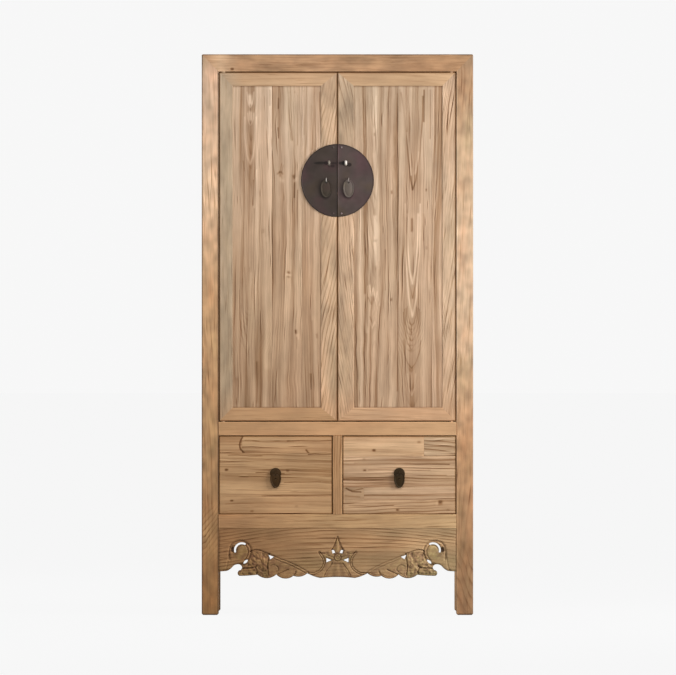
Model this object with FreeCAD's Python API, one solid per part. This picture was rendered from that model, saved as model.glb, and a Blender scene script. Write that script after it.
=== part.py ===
"""Round-lock cabinet: a tall wooden cabinet with two pivot-hung doors, two drawers and a carved apron.

Millimetres, +Z up. The front faces -Y, +X is to the right of someone facing it, and the origin is
the middle of the footprint on the floor.
"""
import FreeCAD, Part
import math
import os

os.makedirs("parts", exist_ok=True)
V = FreeCAD.Vector

# Whole cabinet
WIDTH = 968.0
DEPTH = 500.0
HEIGHT = 2000.0

# Posts and rails of the carcass
POST_W = 60.0
POST_D = 54.0
TOP_RAIL_H = 62.0
MID_RAIL_H = 49.0
MID_RAIL_TOP = 689.0
BOTTOM_RAIL_H = 49.0
BOTTOM_RAIL_TOP = 359.0
RAIL_D = 42.0
OUTER_ROUND = 5.0
INNER_BEVEL = 2.5
RAIL_BEVEL = 2.0
FOOT_BEVEL = 5.0

# Joinery of the carcass
TENON_T = 14.0
TENON_LONG = 26.0
TENON_SHORT = 22.0
TENON_SHOULDER = 12.0
CORNER_TENON = 12.0
CORNER_TENON_RISE = 46.0
GROOVE_DEPTH = 8.0
GROOVE_SLACK = 1.0

# Boards of the carcass
PANEL_T = 10.0
PANEL_SET = 8.0
TOP_PANEL_T = 14.0
TOP_PANEL_SET = 6.0
FLOOR_T = 16.0
FLOOR_SET = 12.0
SHELF_T = 18.0
SHELF_TOPS = (1105.0, 1510.0)
SHELF_FRONT_SET = 2.0
SHELF_SLACK = 2.0
BATTEN_W = 20.0
BATTEN_H = 26.0
BATTEN_TENON = 10.0

# Doors
DOOR_T = 24.0
DOOR_SET = 1.0
DOOR_GAP = 3.0
DOOR_SEAM = 2.0
HINGE_STILE_W = 47.0
MEETING_STILE_W = 58.0
DOOR_RAIL_H = 48.0
DOOR_BEVEL = 1.2
DOOR_TENON_T = 8.0
DOOR_TENON_LONG = 28.0
DOOR_TENON_H = 22.0
DOOR_PANEL_T = 14.0
DOOR_PANEL_SET = 1.0
DOOR_TONGUE_T = 8.0
DOOR_PANEL_SLACK = 0.5
DOOR_BATTEN_W = 32.0
DOOR_BATTEN_NECK = 26.0
DOOR_BATTEN_KEY = 3.0
DOOR_BATTEN_TENON = 10.0
DOOR_BATTEN_LEVELS = (0.2, 0.5, 0.8)
PIVOT_IN = 14.0
PIVOT_BACK = 9.0
PIVOT_R = 7.5
PIVOT_FIT = 0.08
PIVOT_FOOT = 18.0
PIVOT_HEAD = 22.0
PIVOT_ROOT = 40.0
PIVOT_END_GAP = 0.3
PIVOT_LIFT = 6.0

# Drawers
DIVIDER_W = 34.0
DIVIDER_TENON = 12.0
DRAWER_GAP = 3.0
DRAWER_FLOOR_GAP = 2.0
DRAWER_FRONT_T = 20.0
DRAWER_WALL_T = 12.0
DRAWER_HEADROOM = 56.0
DRAWER_LAP = 9.0
DRAWER_BOTTOM_T = 7.0
DRAWER_BOTTOM_UP = 12.0
DRAWER_BOTTOM_IN = 6.0
DRAWER_BACK_GAP = 36.0
DRAWER_RUN_GAP = 0.3
DRAWER_GUIDE_GAP = 1.0
RUNNER_T = 18.0
RUNNER_REACH = 22.0
GUIDE_H = 24.0

# Apron under the drawers
APRON_T = 24.0
APRON_SET = 1.0
APRON_TONGUE = 7.0
APRON_TONGUE_T = 10.0

# Lower edge of the apron, near the posts: distance from the post, drop below the rail
SPANDREL_FOOT = (0.0, 155.0)
SPANDREL_FLAT = (29.0, 153.0)
SPANDREL_HOLLOW = (39.0, 148.0)
SPANDREL_TURN = (49.0, 139.0)
SPANDREL_SWELL = (57.0, 132.0)
NOTCH_CROWN = (70.0, 129.0)
NOTCH_SHOULDER = (80.0, 133.0)
NOTCH_TIP = (84.0, 142.0)
LOBE_TOP = (79.0, 150.0)
LOBE_NOSE = (68.0, 160.0)
LOBE_FOOT = (75.0, 170.5)

# Hanging scallops from the scroll to the middle cusp: share of that run, and drop, at each low point and end
SCALLOPS = (
    (0.132, 169.5, 0.265, 166.5),
    (0.377, 178.5, 0.542, 165.5),
    (0.700, 180.0, 0.795, 170.5),
    (0.882, 173.5, 1.000, 161.5),
)

# Lower edge of the apron, near its middle: distance from the middle, drop below the rail
MIDDLE_CUSP = 107.5
MIDDLE_FALL = (84.0, 172.0)
MIDDLE_LOW = (62.0, 178.0)
MIDDLE_RISE = 174.5

# Piercings of the apron
HOOK_AT = (83.0, 79.0)
HOOK_R = 24.6
HOOK_WIDE = 7.0
HOOK_TURN = (65.0, 192.0)
EYELET_AT = (96.5, 120.0)
EYELET_LONG = 10.5
EYELET_SHORT = 4.5
EYELET_TILT = 42.0
LEAF_GAP = ((178.0, 95.5), (198.0, 102.5), (184.5, 111.5))
PETAL_GAP = ((8.0, 88.0), (13.0, 78.0), (20.5, 79.0), (17.0, 91.0))
STAR_GAP = ((21.0, 114.0), (39.5, 106.5), (39.0, 122.5))

# Round lock plate and its eyes
LOCK_R = 130.0
LOCK_Z = 1550.0
LOCK_T = 2.0
EYE_RISE = 62.0
EYE_FROM_SEAM = 29.0
EYE_R = 9.0
EYE_HOLE_R = 4.5
EYE_W = 8.0
EYE_OUT = 8.0
EYE_SHANK = 6.0

# Leaf-shaped pulls and the staples that carry them
STAPLE_R = 7.0
STAPLE_W = 3.2
STAPLE_T = 2.6
STAPLE_OUT = 3.2
PULL_T = 3.0
PULL_W = 38.0
PULL_HOLE = 6.0
PULL_HANG_GAP = 0.5
PULL_TOP = 2.2

# Outline of a pull: its hip's share of the length, and shares of half width and length elsewhere
PULL_HIP = 0.46
PULL_CHEEK = (0.76, 0.15)
PULL_FLANK = (0.73, 0.77)

# Where the pulls hang
DOOR_PULL_LENGTH = 64.0
DOOR_PULL_FROM_SEAM = 39.0
DOOR_PULL_RISE = 1.0
DRAWER_PULL_LENGTH = 54.0
DRAWER_PULL_RISE = 146.0
ROSETTE_R = 20.0
ROSETTE_T = 2.5

# Planes and levels that follow from the sizes above
FRONT = -DEPTH / 2
BACK = DEPTH / 2
SIDE = WIDTH / 2
CLEAR_X = SIDE - POST_W
CLEAR_FRONT = FRONT + POST_D
CLEAR_BACK = BACK - POST_D
RAIL_X = SIDE - RAIL_D
RAIL_FRONT = FRONT + RAIL_D
RAIL_BACK = BACK - RAIL_D
TOP_RAIL_Z = HEIGHT - TOP_RAIL_H
MID_RAIL_Z = MID_RAIL_TOP - MID_RAIL_H
BOTTOM_RAIL_Z = BOTTOM_RAIL_TOP - BOTTOM_RAIL_H
PANEL_X = SIDE - PANEL_SET - PANEL_T
PANEL_BACK = BACK - PANEL_SET - PANEL_T
DOOR_FRONT = FRONT + DOOR_SET
DOOR_BACK = DOOR_FRONT + DOOR_T
DOOR_X0 = -CLEAR_X + DOOR_GAP
DOOR_X1 = -DOOR_SEAM / 2
DOOR_Z0 = MID_RAIL_TOP + DOOR_GAP
DOOR_Z1 = TOP_RAIL_Z - DOOR_GAP
DOOR_IN_X0 = DOOR_X0 + HINGE_STILE_W
DOOR_IN_X1 = DOOR_X1 - MEETING_STILE_W
DOOR_IN_Z0 = DOOR_Z0 + DOOR_RAIL_H
DOOR_IN_Z1 = DOOR_Z1 - DOOR_RAIL_H
PLATE_FRONT = DOOR_FRONT - LOCK_T
DOOR_PULL_Z = LOCK_Z + DOOR_PULL_RISE
PIVOT_X = DOOR_X0 + PIVOT_IN
PIVOT_Y = DOOR_FRONT + PIVOT_BACK
DRAWER_X0 = -CLEAR_X + DRAWER_GAP
DRAWER_X1 = -DIVIDER_W / 2 - DRAWER_GAP
DRAWER_Z0 = BOTTOM_RAIL_TOP + DRAWER_RUN_GAP
DRAWER_TOP = MID_RAIL_Z - DRAWER_HEADROOM
DRAWER_BACK = PANEL_BACK - DRAWER_BACK_GAP
DRAWER_PULL_X = (DRAWER_X0 + DRAWER_X1) / 2
DRAWER_PULL_Z = BOTTOM_RAIL_TOP + DRAWER_PULL_RISE
APRON_FRONT = FRONT + APRON_SET

# Differences smaller than this count as none
TINY = 1e-6


def box(x0, x1, y0, y1, z0, z1):
    """A block between two corners."""
    return Part.makeBox(x1 - x0, y1 - y0, z1 - z0, V(x0, y0, z0))


def rod(radius, length, start, direction):
    """A round bar."""
    return Part.makeCylinder(radius, length, start, direction)


def face_of(edges):
    """A flat face inside a closed chain of edges."""
    return Part.Face(Part.Wire(Part.__sortEdges__(edges)))


def polygon_face(points):
    """A flat face inside straight edges."""
    return Part.Face(Part.makePolygon(list(points) + [points[0]]))


def pyramid(base, apex):
    """A solid from a flat base to one point."""
    sides = [polygon_face([p, q, apex]) for p, q in zip(base, base[1:] + base[:1])]
    solid = Part.makeSolid(Part.makeShell([polygon_face(base)] + sides))
    if solid.Volume < 0:
        solid.reverse()
    return solid


def front_edges(shape, y, along):
    """The straight edges of a shape that lie in the plane y and run along a direction."""
    picked = []
    for edge in shape.Edges:
        start = edge.valueAt(edge.FirstParameter)
        end = edge.valueAt(edge.LastParameter)
        in_plane = abs(start.y - y) < TINY and abs(end.y - y) < TINY
        if in_plane and abs((end - start).normalize().dot(along)) > 1 - TINY:
            picked.append(edge)
    return picked


def fused(first, *rest):
    """Solids that are one piece of wood or iron, joined."""
    return first.multiFuse(list(rest)).removeSplitter()


def housed(piece, *mates):
    """A piece with room cut in it for the pieces that enter it."""
    return piece.cut(list(mates))


def mirror_x(shape):
    """The same piece on the other side of the cabinet."""
    return shape.mirror(V(0, 0, 0), V(1, 0, 0))


def mirror_y(shape):
    """The same piece at the back of the cabinet."""
    return shape.mirror(V(0, 0, 0), V(0, 1, 0))


def on_side(shape, side):
    """A piece made for the left side, put on the named side."""
    return shape if side == "left" else mirror_x(shape)


# Carcass frame

def outer_form():
    """The whole cabinet as a block with worn front and top edges, which trims the posts and the top frame."""
    block = box(-SIDE, SIDE, FRONT, BACK, 0, HEIGHT)
    middles = [(edge, edge.CenterOfMass) for edge in block.Edges]
    rubbed = [edge for edge, middle in middles if middle.z > TINY and middle.y < BACK - TINY]
    return block.makeFillet(OUTER_ROUND, rubbed)


def corner_tenons():
    """The two tenons on top of the left front post, one into each rail that it meets."""
    top = TOP_RAIL_Z + CORNER_TENON_RISE
    near = (POST_W + POST_D) / 4 - CORNER_TENON
    far_x = POST_W - CORNER_TENON - INNER_BEVEL
    far_y = POST_D - CORNER_TENON - INNER_BEVEL
    x0 = -SIDE + far_x
    y0 = FRONT + near
    into_front = box(x0, x0 + CORNER_TENON, y0, y0 + CORNER_TENON, TOP_RAIL_Z, top)
    x1 = -SIDE + near
    y1 = FRONT + far_y
    into_side = box(x1, x1 + CORNER_TENON, y1, y1 + CORNER_TENON, TOP_RAIL_Z, top)
    return into_front, into_side


def plain_post(form):
    """Left front post: its head is one third of a three-way mitre."""
    shaft = box(-SIDE, -CLEAR_X, FRONT, CLEAR_FRONT, 0, TOP_RAIL_Z)
    base = [V(-SIDE, FRONT, TOP_RAIL_Z), V(-CLEAR_X, FRONT, TOP_RAIL_Z),
            V(-CLEAR_X, CLEAR_FRONT, TOP_RAIL_Z), V(-SIDE, CLEAR_FRONT, TOP_RAIL_Z)]
    head = pyramid(base, V(-SIDE, FRONT, HEIGHT))
    section = box(-SIDE, -CLEAR_X, FRONT, CLEAR_FRONT, 0, HEIGHT)
    inner = [e for e in front_edges(section, FRONT, V(0, 0, 1)) if e.CenterOfMass.x > -SIDE + TINY]
    sole = [e for e in section.Edges if e.BoundBox.ZMax < TINY]
    footed = section.makeChamfer(FOOT_BEVEL, sole)
    section = section.makeChamfer(INNER_BEVEL, inner)
    return fused(fused(shaft, head).common(section).common(footed).common(form), *corner_tenons())


def top_rail_front_form(form):
    """Front top rail, mitred at both ends."""
    y1 = CLEAR_FRONT
    bar = box(-CLEAR_X, CLEAR_X, FRONT, y1, TOP_RAIL_Z, HEIGHT)
    base = [V(-CLEAR_X, FRONT, TOP_RAIL_Z), V(-CLEAR_X, y1, TOP_RAIL_Z),
            V(-CLEAR_X, y1, HEIGHT), V(-CLEAR_X, FRONT, HEIGHT)]
    end = pyramid(base, V(-SIDE, FRONT, HEIGHT))
    section = box(-SIDE, SIDE, FRONT, y1, TOP_RAIL_Z, HEIGHT)
    lower = [e for e in front_edges(section, FRONT, V(1, 0, 0)) if e.CenterOfMass.z < HEIGHT - TINY]
    section = section.makeChamfer(INNER_BEVEL, lower)
    rail = fused(bar, end, mirror_x(end)).common(section).common(form)
    tenon = corner_tenons()[0]
    return housed(rail, tenon, mirror_x(tenon))


def top_rail_side_form(form):
    """Left top rail, mitred at both ends."""
    bar = box(-SIDE, -CLEAR_X, CLEAR_FRONT, CLEAR_BACK, TOP_RAIL_Z, HEIGHT)
    base = [V(-SIDE, CLEAR_FRONT, TOP_RAIL_Z), V(-CLEAR_X, CLEAR_FRONT, TOP_RAIL_Z),
            V(-CLEAR_X, CLEAR_FRONT, HEIGHT), V(-SIDE, CLEAR_FRONT, HEIGHT)]
    end = pyramid(base, V(-SIDE, FRONT, HEIGHT))
    rail = fused(bar, end, mirror_y(end)).common(form)
    tenon = corner_tenons()[1]
    return housed(rail, tenon, mirror_y(tenon))


def front_rail(z0, z1, eased):
    """A front rail with a tenon at each end and its front edges eased at the given levels."""
    bar = box(-CLEAR_X, CLEAR_X, FRONT, RAIL_FRONT, z0, z1)
    edges = [e for e in front_edges(bar, FRONT, V(1, 0, 0)) for z in eased if abs(e.CenterOfMass.z - z) < TINY]
    bar = bar.makeChamfer(RAIL_BEVEL, edges)
    y0 = FRONT + (RAIL_D - TENON_T) / 2
    reach = CLEAR_X + TENON_LONG
    tenons = box(-reach, reach, y0, y0 + TENON_T, z0 + TENON_SHOULDER, z1 - TENON_SHOULDER)
    return fused(bar, tenons)


def side_rail(z0, z1):
    """A left side rail with a tenon at each end."""
    bar = box(-SIDE, -RAIL_X, CLEAR_FRONT, CLEAR_BACK, z0, z1)
    x0 = -SIDE + (RAIL_D - TENON_T) / 2
    y0 = CLEAR_FRONT - TENON_SHORT
    y1 = CLEAR_BACK + TENON_SHORT
    return fused(bar, box(x0, x0 + TENON_T, y0, y1, z0 + TENON_SHOULDER, z1 - TENON_SHOULDER))


# Boards held in the carcass frame

def side_panel(z0, z1, edge):
    """A left side panel between two rails, reaching a given depth into the frame all round."""
    return box(-PANEL_X - PANEL_T, -PANEL_X, CLEAR_FRONT - edge, CLEAR_BACK + edge, z0 - edge, z1 + edge)


def back_panel(z0, z1, edge):
    """A back panel between two rails, reaching a given depth into the frame all round."""
    return box(-CLEAR_X - edge, CLEAR_X + edge, PANEL_BACK, PANEL_BACK + PANEL_T, z0 - edge, z1 + edge)


def top_panel(edge):
    """The board that closes the top, set a little below the rails."""
    z1 = HEIGHT - TOP_PANEL_SET
    y0 = CLEAR_FRONT - edge
    y1 = CLEAR_BACK + edge
    return box(-CLEAR_X - edge, CLEAR_X + edge, y0, y1, z1 - TOP_PANEL_T, z1)


def compartment_floor(edge):
    """The floor of the door compartment, notched round the four posts."""
    z1 = MID_RAIL_TOP - FLOOR_SET
    board = box(-RAIL_X - edge, RAIL_X + edge, RAIL_FRONT - edge, RAIL_BACK + edge, z1 - FLOOR_T, z1)
    notch = box(-SIDE, -CLEAR_X, FRONT, CLEAR_FRONT, 0, HEIGHT)
    corners = [notch, mirror_x(notch), mirror_y(notch), mirror_x(mirror_y(notch))]
    return housed(board, *corners)


def shelf(top):
    """A shelf board, notched round the two rear posts."""
    x = PANEL_X - SHELF_SLACK
    y0 = CLEAR_FRONT + SHELF_FRONT_SET
    y1 = PANEL_BACK - SHELF_SLACK
    board = box(-x, x, y0, y1, top - SHELF_T, top)
    notch = box(-SIDE, -CLEAR_X + SHELF_SLACK, CLEAR_BACK - SHELF_SLACK, BACK, 0, HEIGHT)
    return housed(board, notch, mirror_x(notch))


def shelf_batten(top):
    """The left bearer of a shelf, housed in the front and rear posts."""
    x1 = -PANEL_X + SHELF_SLACK + BATTEN_W
    z1 = top - SHELF_T
    y0 = CLEAR_FRONT - BATTEN_TENON
    y1 = CLEAR_BACK + BATTEN_TENON
    return box(x1 - BATTEN_W, x1, y0, y1, z1 - BATTEN_H, z1)


def divider_post():
    """The short post between the two drawers, with a tenon at each end."""
    half = DIVIDER_W / 2
    bar = box(-half, half, FRONT, RAIL_FRONT, BOTTOM_RAIL_TOP, MID_RAIL_Z)
    bar = bar.makeChamfer(RAIL_BEVEL, front_edges(bar, FRONT, V(0, 0, 1)))
    y0 = FRONT + (RAIL_D - TENON_T) / 2
    z0 = BOTTOM_RAIL_TOP - DIVIDER_TENON
    z1 = MID_RAIL_Z + DIVIDER_TENON
    return fused(bar, box(-TENON_T / 2, TENON_T / 2, y0, y0 + TENON_T, z0, z1))


def side_runner():
    """The left drawer runner with its guide, fixed to the side rail and notched round the posts."""
    z1 = BOTTOM_RAIL_TOP
    guide_x = DRAWER_X0 - DRAWER_GUIDE_GAP
    plate = box(-RAIL_X, -CLEAR_X + RUNNER_REACH, RAIL_FRONT, RAIL_BACK, z1 - RUNNER_T, z1)
    guide = box(-RAIL_X, guide_x, CLEAR_FRONT, CLEAR_BACK, z1, z1 + GUIDE_H)
    notch = box(-SIDE, -CLEAR_X, FRONT, CLEAR_FRONT, 0, HEIGHT)
    return housed(fused(plate, guide), notch, mirror_y(notch))


def centre_runner():
    """The runner that both drawers share, with the guide between them."""
    z1 = BOTTOM_RAIL_TOP
    reach = DIVIDER_W / 2 + RUNNER_REACH
    half = -DRAWER_X1 - DRAWER_GUIDE_GAP
    plate = box(-reach, reach, RAIL_FRONT, RAIL_BACK, z1 - RUNNER_T, z1)
    return fused(plate, box(-half, half, RAIL_FRONT, RAIL_BACK, z1, z1 + GUIDE_H))


# Carved apron

def by_post(distance, drop):
    """A point on the left half of the apron, measured from the post."""
    return V(-CLEAR_X + distance, APRON_FRONT, BOTTOM_RAIL_Z - drop)


def by_middle(distance, drop):
    """A point on the left half of the apron, measured from its middle."""
    return V(-distance, APRON_FRONT, BOTTOM_RAIL_Z - drop)


def line(p, q):
    """A straight edge."""
    return Part.LineSegment(p, q).toShape()


def arc(p, q, r):
    """A round edge through three points."""
    return Part.Arc(p, q, r).toShape()


def spandrel_edges():
    """The lower edge beside the post: an ogee, a notch and the nose of the scroll."""
    foot = by_post(*SPANDREL_FOOT)
    flat = by_post(*SPANDREL_FLAT)
    crown = by_post(*NOTCH_CROWN)
    tip = by_post(*NOTCH_TIP)
    lobe_top = by_post(*LOBE_TOP)
    turn = by_post(*SPANDREL_TURN)
    return [line(foot, flat),
            arc(flat, by_post(*SPANDREL_HOLLOW), turn),
            arc(turn, by_post(*SPANDREL_SWELL), crown),
            arc(crown, by_post(*NOTCH_SHOULDER), tip),
            line(tip, lobe_top),
            arc(lobe_top, by_post(*LOBE_NOSE), by_post(*LOBE_FOOT))]


def scallop_edges():
    """The hanging scallops between the scroll and the middle."""
    edges = []
    first = LOBE_FOOT[0]
    run = CLEAR_X - MIDDLE_CUSP - first
    start = by_post(*LOBE_FOOT)
    for low_share, low_drop, end_share, end_drop in SCALLOPS:
        finish = by_post(first + end_share * run, end_drop)
        edges.append(arc(start, by_post(first + low_share * run, low_drop), finish))
        start = finish
    low = by_middle(*MIDDLE_LOW)
    edges.append(arc(start, by_middle(*MIDDLE_FALL), low))
    edges.append(arc(low, by_middle(0, MIDDLE_RISE), mirrored_point(low)))
    return edges


def mirrored_point(point):
    """The same point on the right half."""
    return V(-point.x, point.y, point.z)


def hook_gap():
    """The hooked slot that follows the inside of the scroll, round at both ends."""
    centre = by_post(*HOOK_AT)
    start, end = HOOK_TURN
    middle = (start + end) / 2
    half = HOOK_WIDE / 2

    def at(radius, degrees, ahead=0):
        angle = math.radians(degrees)
        out = V(math.cos(angle), 0, math.sin(angle))
        onward = V(-math.sin(angle), 0, math.cos(angle))
        return centre + out * radius + onward * ahead

    outer = arc(at(HOOK_R + half, start), at(HOOK_R + half, middle), at(HOOK_R + half, end))
    inner = arc(at(HOOK_R - half, start), at(HOOK_R - half, middle), at(HOOK_R - half, end))
    near = arc(at(HOOK_R - half, start), at(HOOK_R, start, -half), at(HOOK_R + half, start))
    far = arc(at(HOOK_R - half, end), at(HOOK_R, end, half), at(HOOK_R + half, end))
    return face_of([outer, far, inner, near])


def eyelet_gap():
    """The slanted, pointed eyelet under the scroll."""
    centre = by_post(*EYELET_AT)
    angle = math.radians(EYELET_TILT)
    along = V(math.cos(angle), 0, math.sin(angle)) * EYELET_LONG
    over = V(-math.sin(angle), 0, math.cos(angle)) * EYELET_SHORT
    upper = arc(centre - along, centre + over, centre + along)
    lower = arc(centre - along, centre - over, centre + along)
    return face_of([upper, lower])


def apron():
    """The apron board: scalloped below, pierced beside the scrolls and in the middle flower."""
    top_left = by_post(0, 0)
    left = [line(top_left, by_post(*SPANDREL_FOOT))] + spandrel_edges()
    lower = scallop_edges()
    middle = lower.pop()
    half = left + lower
    right = [mirror_x(edge) for edge in half]
    top = line(top_left, mirrored_point(top_left))
    through = V(0, APRON_T, 0)
    board = face_of([top] + half + [middle] + right).extrude(through)
    leaf = polygon_face([by_post(*p) for p in LEAF_GAP])
    petal = polygon_face([by_middle(*p) for p in PETAL_GAP])
    star = polygon_face([by_middle(*p) for p in STAR_GAP])
    gaps = [face.extrude(through) for face in (hook_gap(), eyelet_gap(), leaf, petal, star)]
    board = housed(board, *gaps, *[mirror_x(gap) for gap in gaps])
    y0 = APRON_FRONT + (APRON_T - APRON_TONGUE_T) / 2
    y1 = y0 + APRON_TONGUE_T
    reach = CLEAR_X + APRON_TONGUE
    foot = BOTTOM_RAIL_Z - SPANDREL_FOOT[1] + APRON_TONGUE
    top_tongue = box(-CLEAR_X, CLEAR_X, y0, y1, BOTTOM_RAIL_Z - APRON_TONGUE, BOTTOM_RAIL_Z + APRON_TONGUE)
    end_tongue = box(-reach, -CLEAR_X + APRON_TONGUE, y0, y1, foot, BOTTOM_RAIL_Z - APRON_TONGUE)
    return fused(board, top_tongue, end_tongue, mirror_x(end_tongue))


# Left door; the right one is its mirror image

def door_member(outer_a, outer_b):
    """A mitred frame member between two corners of the door."""
    inner = {DOOR_X0: DOOR_IN_X0, DOOR_X1: DOOR_IN_X1, DOOR_Z0: DOOR_IN_Z0, DOOR_Z1: DOOR_IN_Z1}
    corners = [outer_a, outer_b] + [(inner[x], inner[z]) for x, z in (outer_b, outer_a)]
    return polygon_face([V(x, DOOR_FRONT, z) for x, z in corners]).extrude(V(0, DOOR_T, 0))


def worn(member, along):
    """A frame member with its long front edges eased."""
    return member.makeChamfer(DOOR_BEVEL, front_edges(member, DOOR_FRONT, along))


def door_pivots():
    """The pins of the hinge stile, rooted in it and passing through the mitred corners of the rails."""
    foot = DOOR_GAP + PIVOT_FOOT
    head = DOOR_GAP + PIVOT_HEAD
    lower = rod(PIVOT_R, foot + PIVOT_ROOT, V(PIVOT_X, PIVOT_Y, DOOR_Z0 - foot), V(0, 0, 1))
    upper = rod(PIVOT_R, head + PIVOT_ROOT, V(PIVOT_X, PIVOT_Y, DOOR_Z1 - PIVOT_ROOT), V(0, 0, 1))
    return lower, upper


def pivot_sockets():
    """The holes in the middle and top rails that the pins turn in; the upper one lets the door lift out."""
    radius = PIVOT_R + PIVOT_FIT
    foot = PIVOT_FOOT + PIVOT_END_GAP
    head = PIVOT_HEAD + PIVOT_LIFT
    lower = rod(radius, foot, V(PIVOT_X, PIVOT_Y, MID_RAIL_TOP - foot), V(0, 0, 1))
    upper = rod(radius, head, V(PIVOT_X, PIVOT_Y, TOP_RAIL_Z), V(0, 0, 1))
    return lower, upper


def door_rail_tenons(z0):
    """The tenons at the two ends of a door rail that starts at a level."""
    middle = z0 + DOOR_RAIL_H / 2
    y0 = DOOR_FRONT + (DOOR_T - DOOR_TENON_T) / 2
    y1 = y0 + DOOR_TENON_T
    low = middle - DOOR_TENON_H / 2
    high = middle + DOOR_TENON_H / 2
    return box(DOOR_IN_X0 - DOOR_TENON_LONG, DOOR_IN_X1 + DOOR_TENON_LONG, y0, y1, low, high)


def door_panel(edge, slack):
    """The framed panel: a field that fills the opening and a thinner tongue round it."""
    y0 = DOOR_FRONT + DOOR_PANEL_SET
    tongue_y = y0 + (DOOR_PANEL_T - DOOR_TONGUE_T) / 2
    field = box(DOOR_IN_X0 + slack, DOOR_IN_X1 - slack, y0, y0 + DOOR_PANEL_T,
                DOOR_IN_Z0 + slack, DOOR_IN_Z1 - slack)
    tongue = box(DOOR_IN_X0 - edge, DOOR_IN_X1 + edge, tongue_y, tongue_y + DOOR_TONGUE_T,
                 DOOR_IN_Z0 - edge, DOOR_IN_Z1 + edge)
    return fused(field, tongue)


def door_batten(level):
    """A dovetailed batten across the back of the panel, tenoned into both stiles."""
    z = DOOR_IN_Z0 + level * (DOOR_IN_Z1 - DOOR_IN_Z0)
    key_y = DOOR_FRONT + DOOR_PANEL_SET + DOOR_PANEL_T - DOOR_BATTEN_KEY
    neck_y = key_y + DOOR_BATTEN_KEY
    wide = DOOR_BATTEN_W / 2
    neck = DOOR_BATTEN_NECK / 2
    x0 = DOOR_IN_X0 + DOOR_PANEL_SLACK
    profile = [V(x0, key_y, z - wide), V(x0, neck_y, z - neck), V(x0, DOOR_BACK, z - neck),
               V(x0, DOOR_BACK, z + neck), V(x0, neck_y, z + neck), V(x0, key_y, z + wide)]
    length = DOOR_IN_X1 - DOOR_IN_X0 - 2 * DOOR_PANEL_SLACK
    bar = polygon_face(profile).extrude(V(length, 0, 0))
    tenon = box(DOOR_IN_X0 - DOOR_BATTEN_TENON, DOOR_IN_X1 + DOOR_BATTEN_TENON,
                neck_y, DOOR_BACK - DOOR_BATTEN_KEY, z - neck, z + neck)
    return fused(bar, tenon)


def lock_plate():
    """The left half of the round lock plate."""
    disc = rod(LOCK_R, LOCK_T, V(0, PLATE_FRONT, LOCK_Z), V(0, 1, 0))
    return disc.common(box(-SIDE, DOOR_X1, PLATE_FRONT, DOOR_FRONT, 0, HEIGHT))


def lock_eye():
    """The round-nosed eye that stands on the plate, with a square shank through the meeting stile."""
    x = DOOR_X1 - EYE_FROM_SEAM
    z = LOCK_Z + EYE_RISE
    y = PLATE_FRONT - EYE_OUT
    x0 = x - EYE_W / 2
    low = V(x0, y, z - EYE_R)
    high = V(x0, y, z + EYE_R)
    low_root = V(x0, PLATE_FRONT, z - EYE_R)
    high_root = V(x0, PLATE_FRONT, z + EYE_R)
    nose = arc(low, V(x0, y - EYE_R, z), high)
    sides = [line(high, high_root), line(high_root, low_root), line(low_root, low)]
    tab = face_of([nose] + sides).extrude(V(EYE_W, 0, 0))
    tab = tab.cut(rod(EYE_HOLE_R, EYE_W, V(x0, y, z), V(1, 0, 0)))
    half = EYE_SHANK / 2
    return fused(tab, box(x - half, x + half, PLATE_FRONT, DOOR_BACK, z - half, z + half))


def staple(x, face_y, back_y, z):
    """A bent strip that a pull hangs on: a half ring in front of a face and two legs through it."""
    y = face_y - STAPLE_OUT
    half = STAPLE_W / 2
    inner = z - STAPLE_R + STAPLE_T / 2
    outer = z - STAPLE_R - STAPLE_T / 2
    section = polygon_face([V(x - half, y, outer), V(x + half, y, outer),
                            V(x + half, y, inner), V(x - half, y, inner)])
    bend = section.revolve(V(x, y, z), V(-1, 0, 0), 180)
    low_leg = box(x - half, x + half, y, back_y, outer, inner)
    high_leg = box(x - half, x + half, y, back_y, 2 * z - inner, 2 * z - outer)
    return fused(bend, low_leg, high_leg)


def pull(x, face_y, z, length):
    """A leaf-shaped drop that hangs on a staple and swings about the middle of its bend."""
    y = face_y - STAPLE_OUT - PULL_T / 2
    wide = PULL_W / 2

    def at(across, down):
        return V(x + across, y, z + PULL_TOP - down)

    top = at(0, 0)
    tip = at(0, length)
    edges = []
    for sign in (-1, 1):
        hip = at(sign * wide, PULL_HIP * length)
        cheek = at(sign * PULL_CHEEK[0] * wide, PULL_CHEEK[1] * length)
        flank = at(sign * PULL_FLANK[0] * wide, PULL_FLANK[1] * length)
        edges.append(arc(top, cheek, hip))
        edges.append(arc(hip, flank, tip))
    leaf = face_of(edges).extrude(V(0, PULL_T, 0))
    hole_top = z - STAPLE_R + STAPLE_T / 2 + PULL_HANG_GAP
    half = PULL_HOLE / 2
    return leaf.cut(box(x - half, x + half, y, y + PULL_T, hole_top - PULL_HOLE, hole_top))


# Left drawer; the right one is its mirror image

def drawer_sides():
    """The two long walls of the drawer."""
    y0 = DOOR_FRONT + DRAWER_FRONT_T - DRAWER_LAP
    outer = box(DRAWER_X0, DRAWER_X0 + DRAWER_WALL_T, y0, DRAWER_BACK, DRAWER_Z0, DRAWER_TOP)
    inner = box(DRAWER_X1 - DRAWER_WALL_T, DRAWER_X1, y0, DRAWER_BACK, DRAWER_Z0, DRAWER_TOP)
    return outer, inner


def drawer_front():
    """The drawer's face board."""
    z0 = BOTTOM_RAIL_TOP + DRAWER_FLOOR_GAP
    z1 = MID_RAIL_Z - DRAWER_GAP
    board = box(DRAWER_X0, DRAWER_X1, DOOR_FRONT, DOOR_FRONT + DRAWER_FRONT_T, z0, z1)
    edges = front_edges(board, DOOR_FRONT, V(1, 0, 0)) + front_edges(board, DOOR_FRONT, V(0, 0, 1))
    return board.makeChamfer(DOOR_BEVEL, edges)


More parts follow.
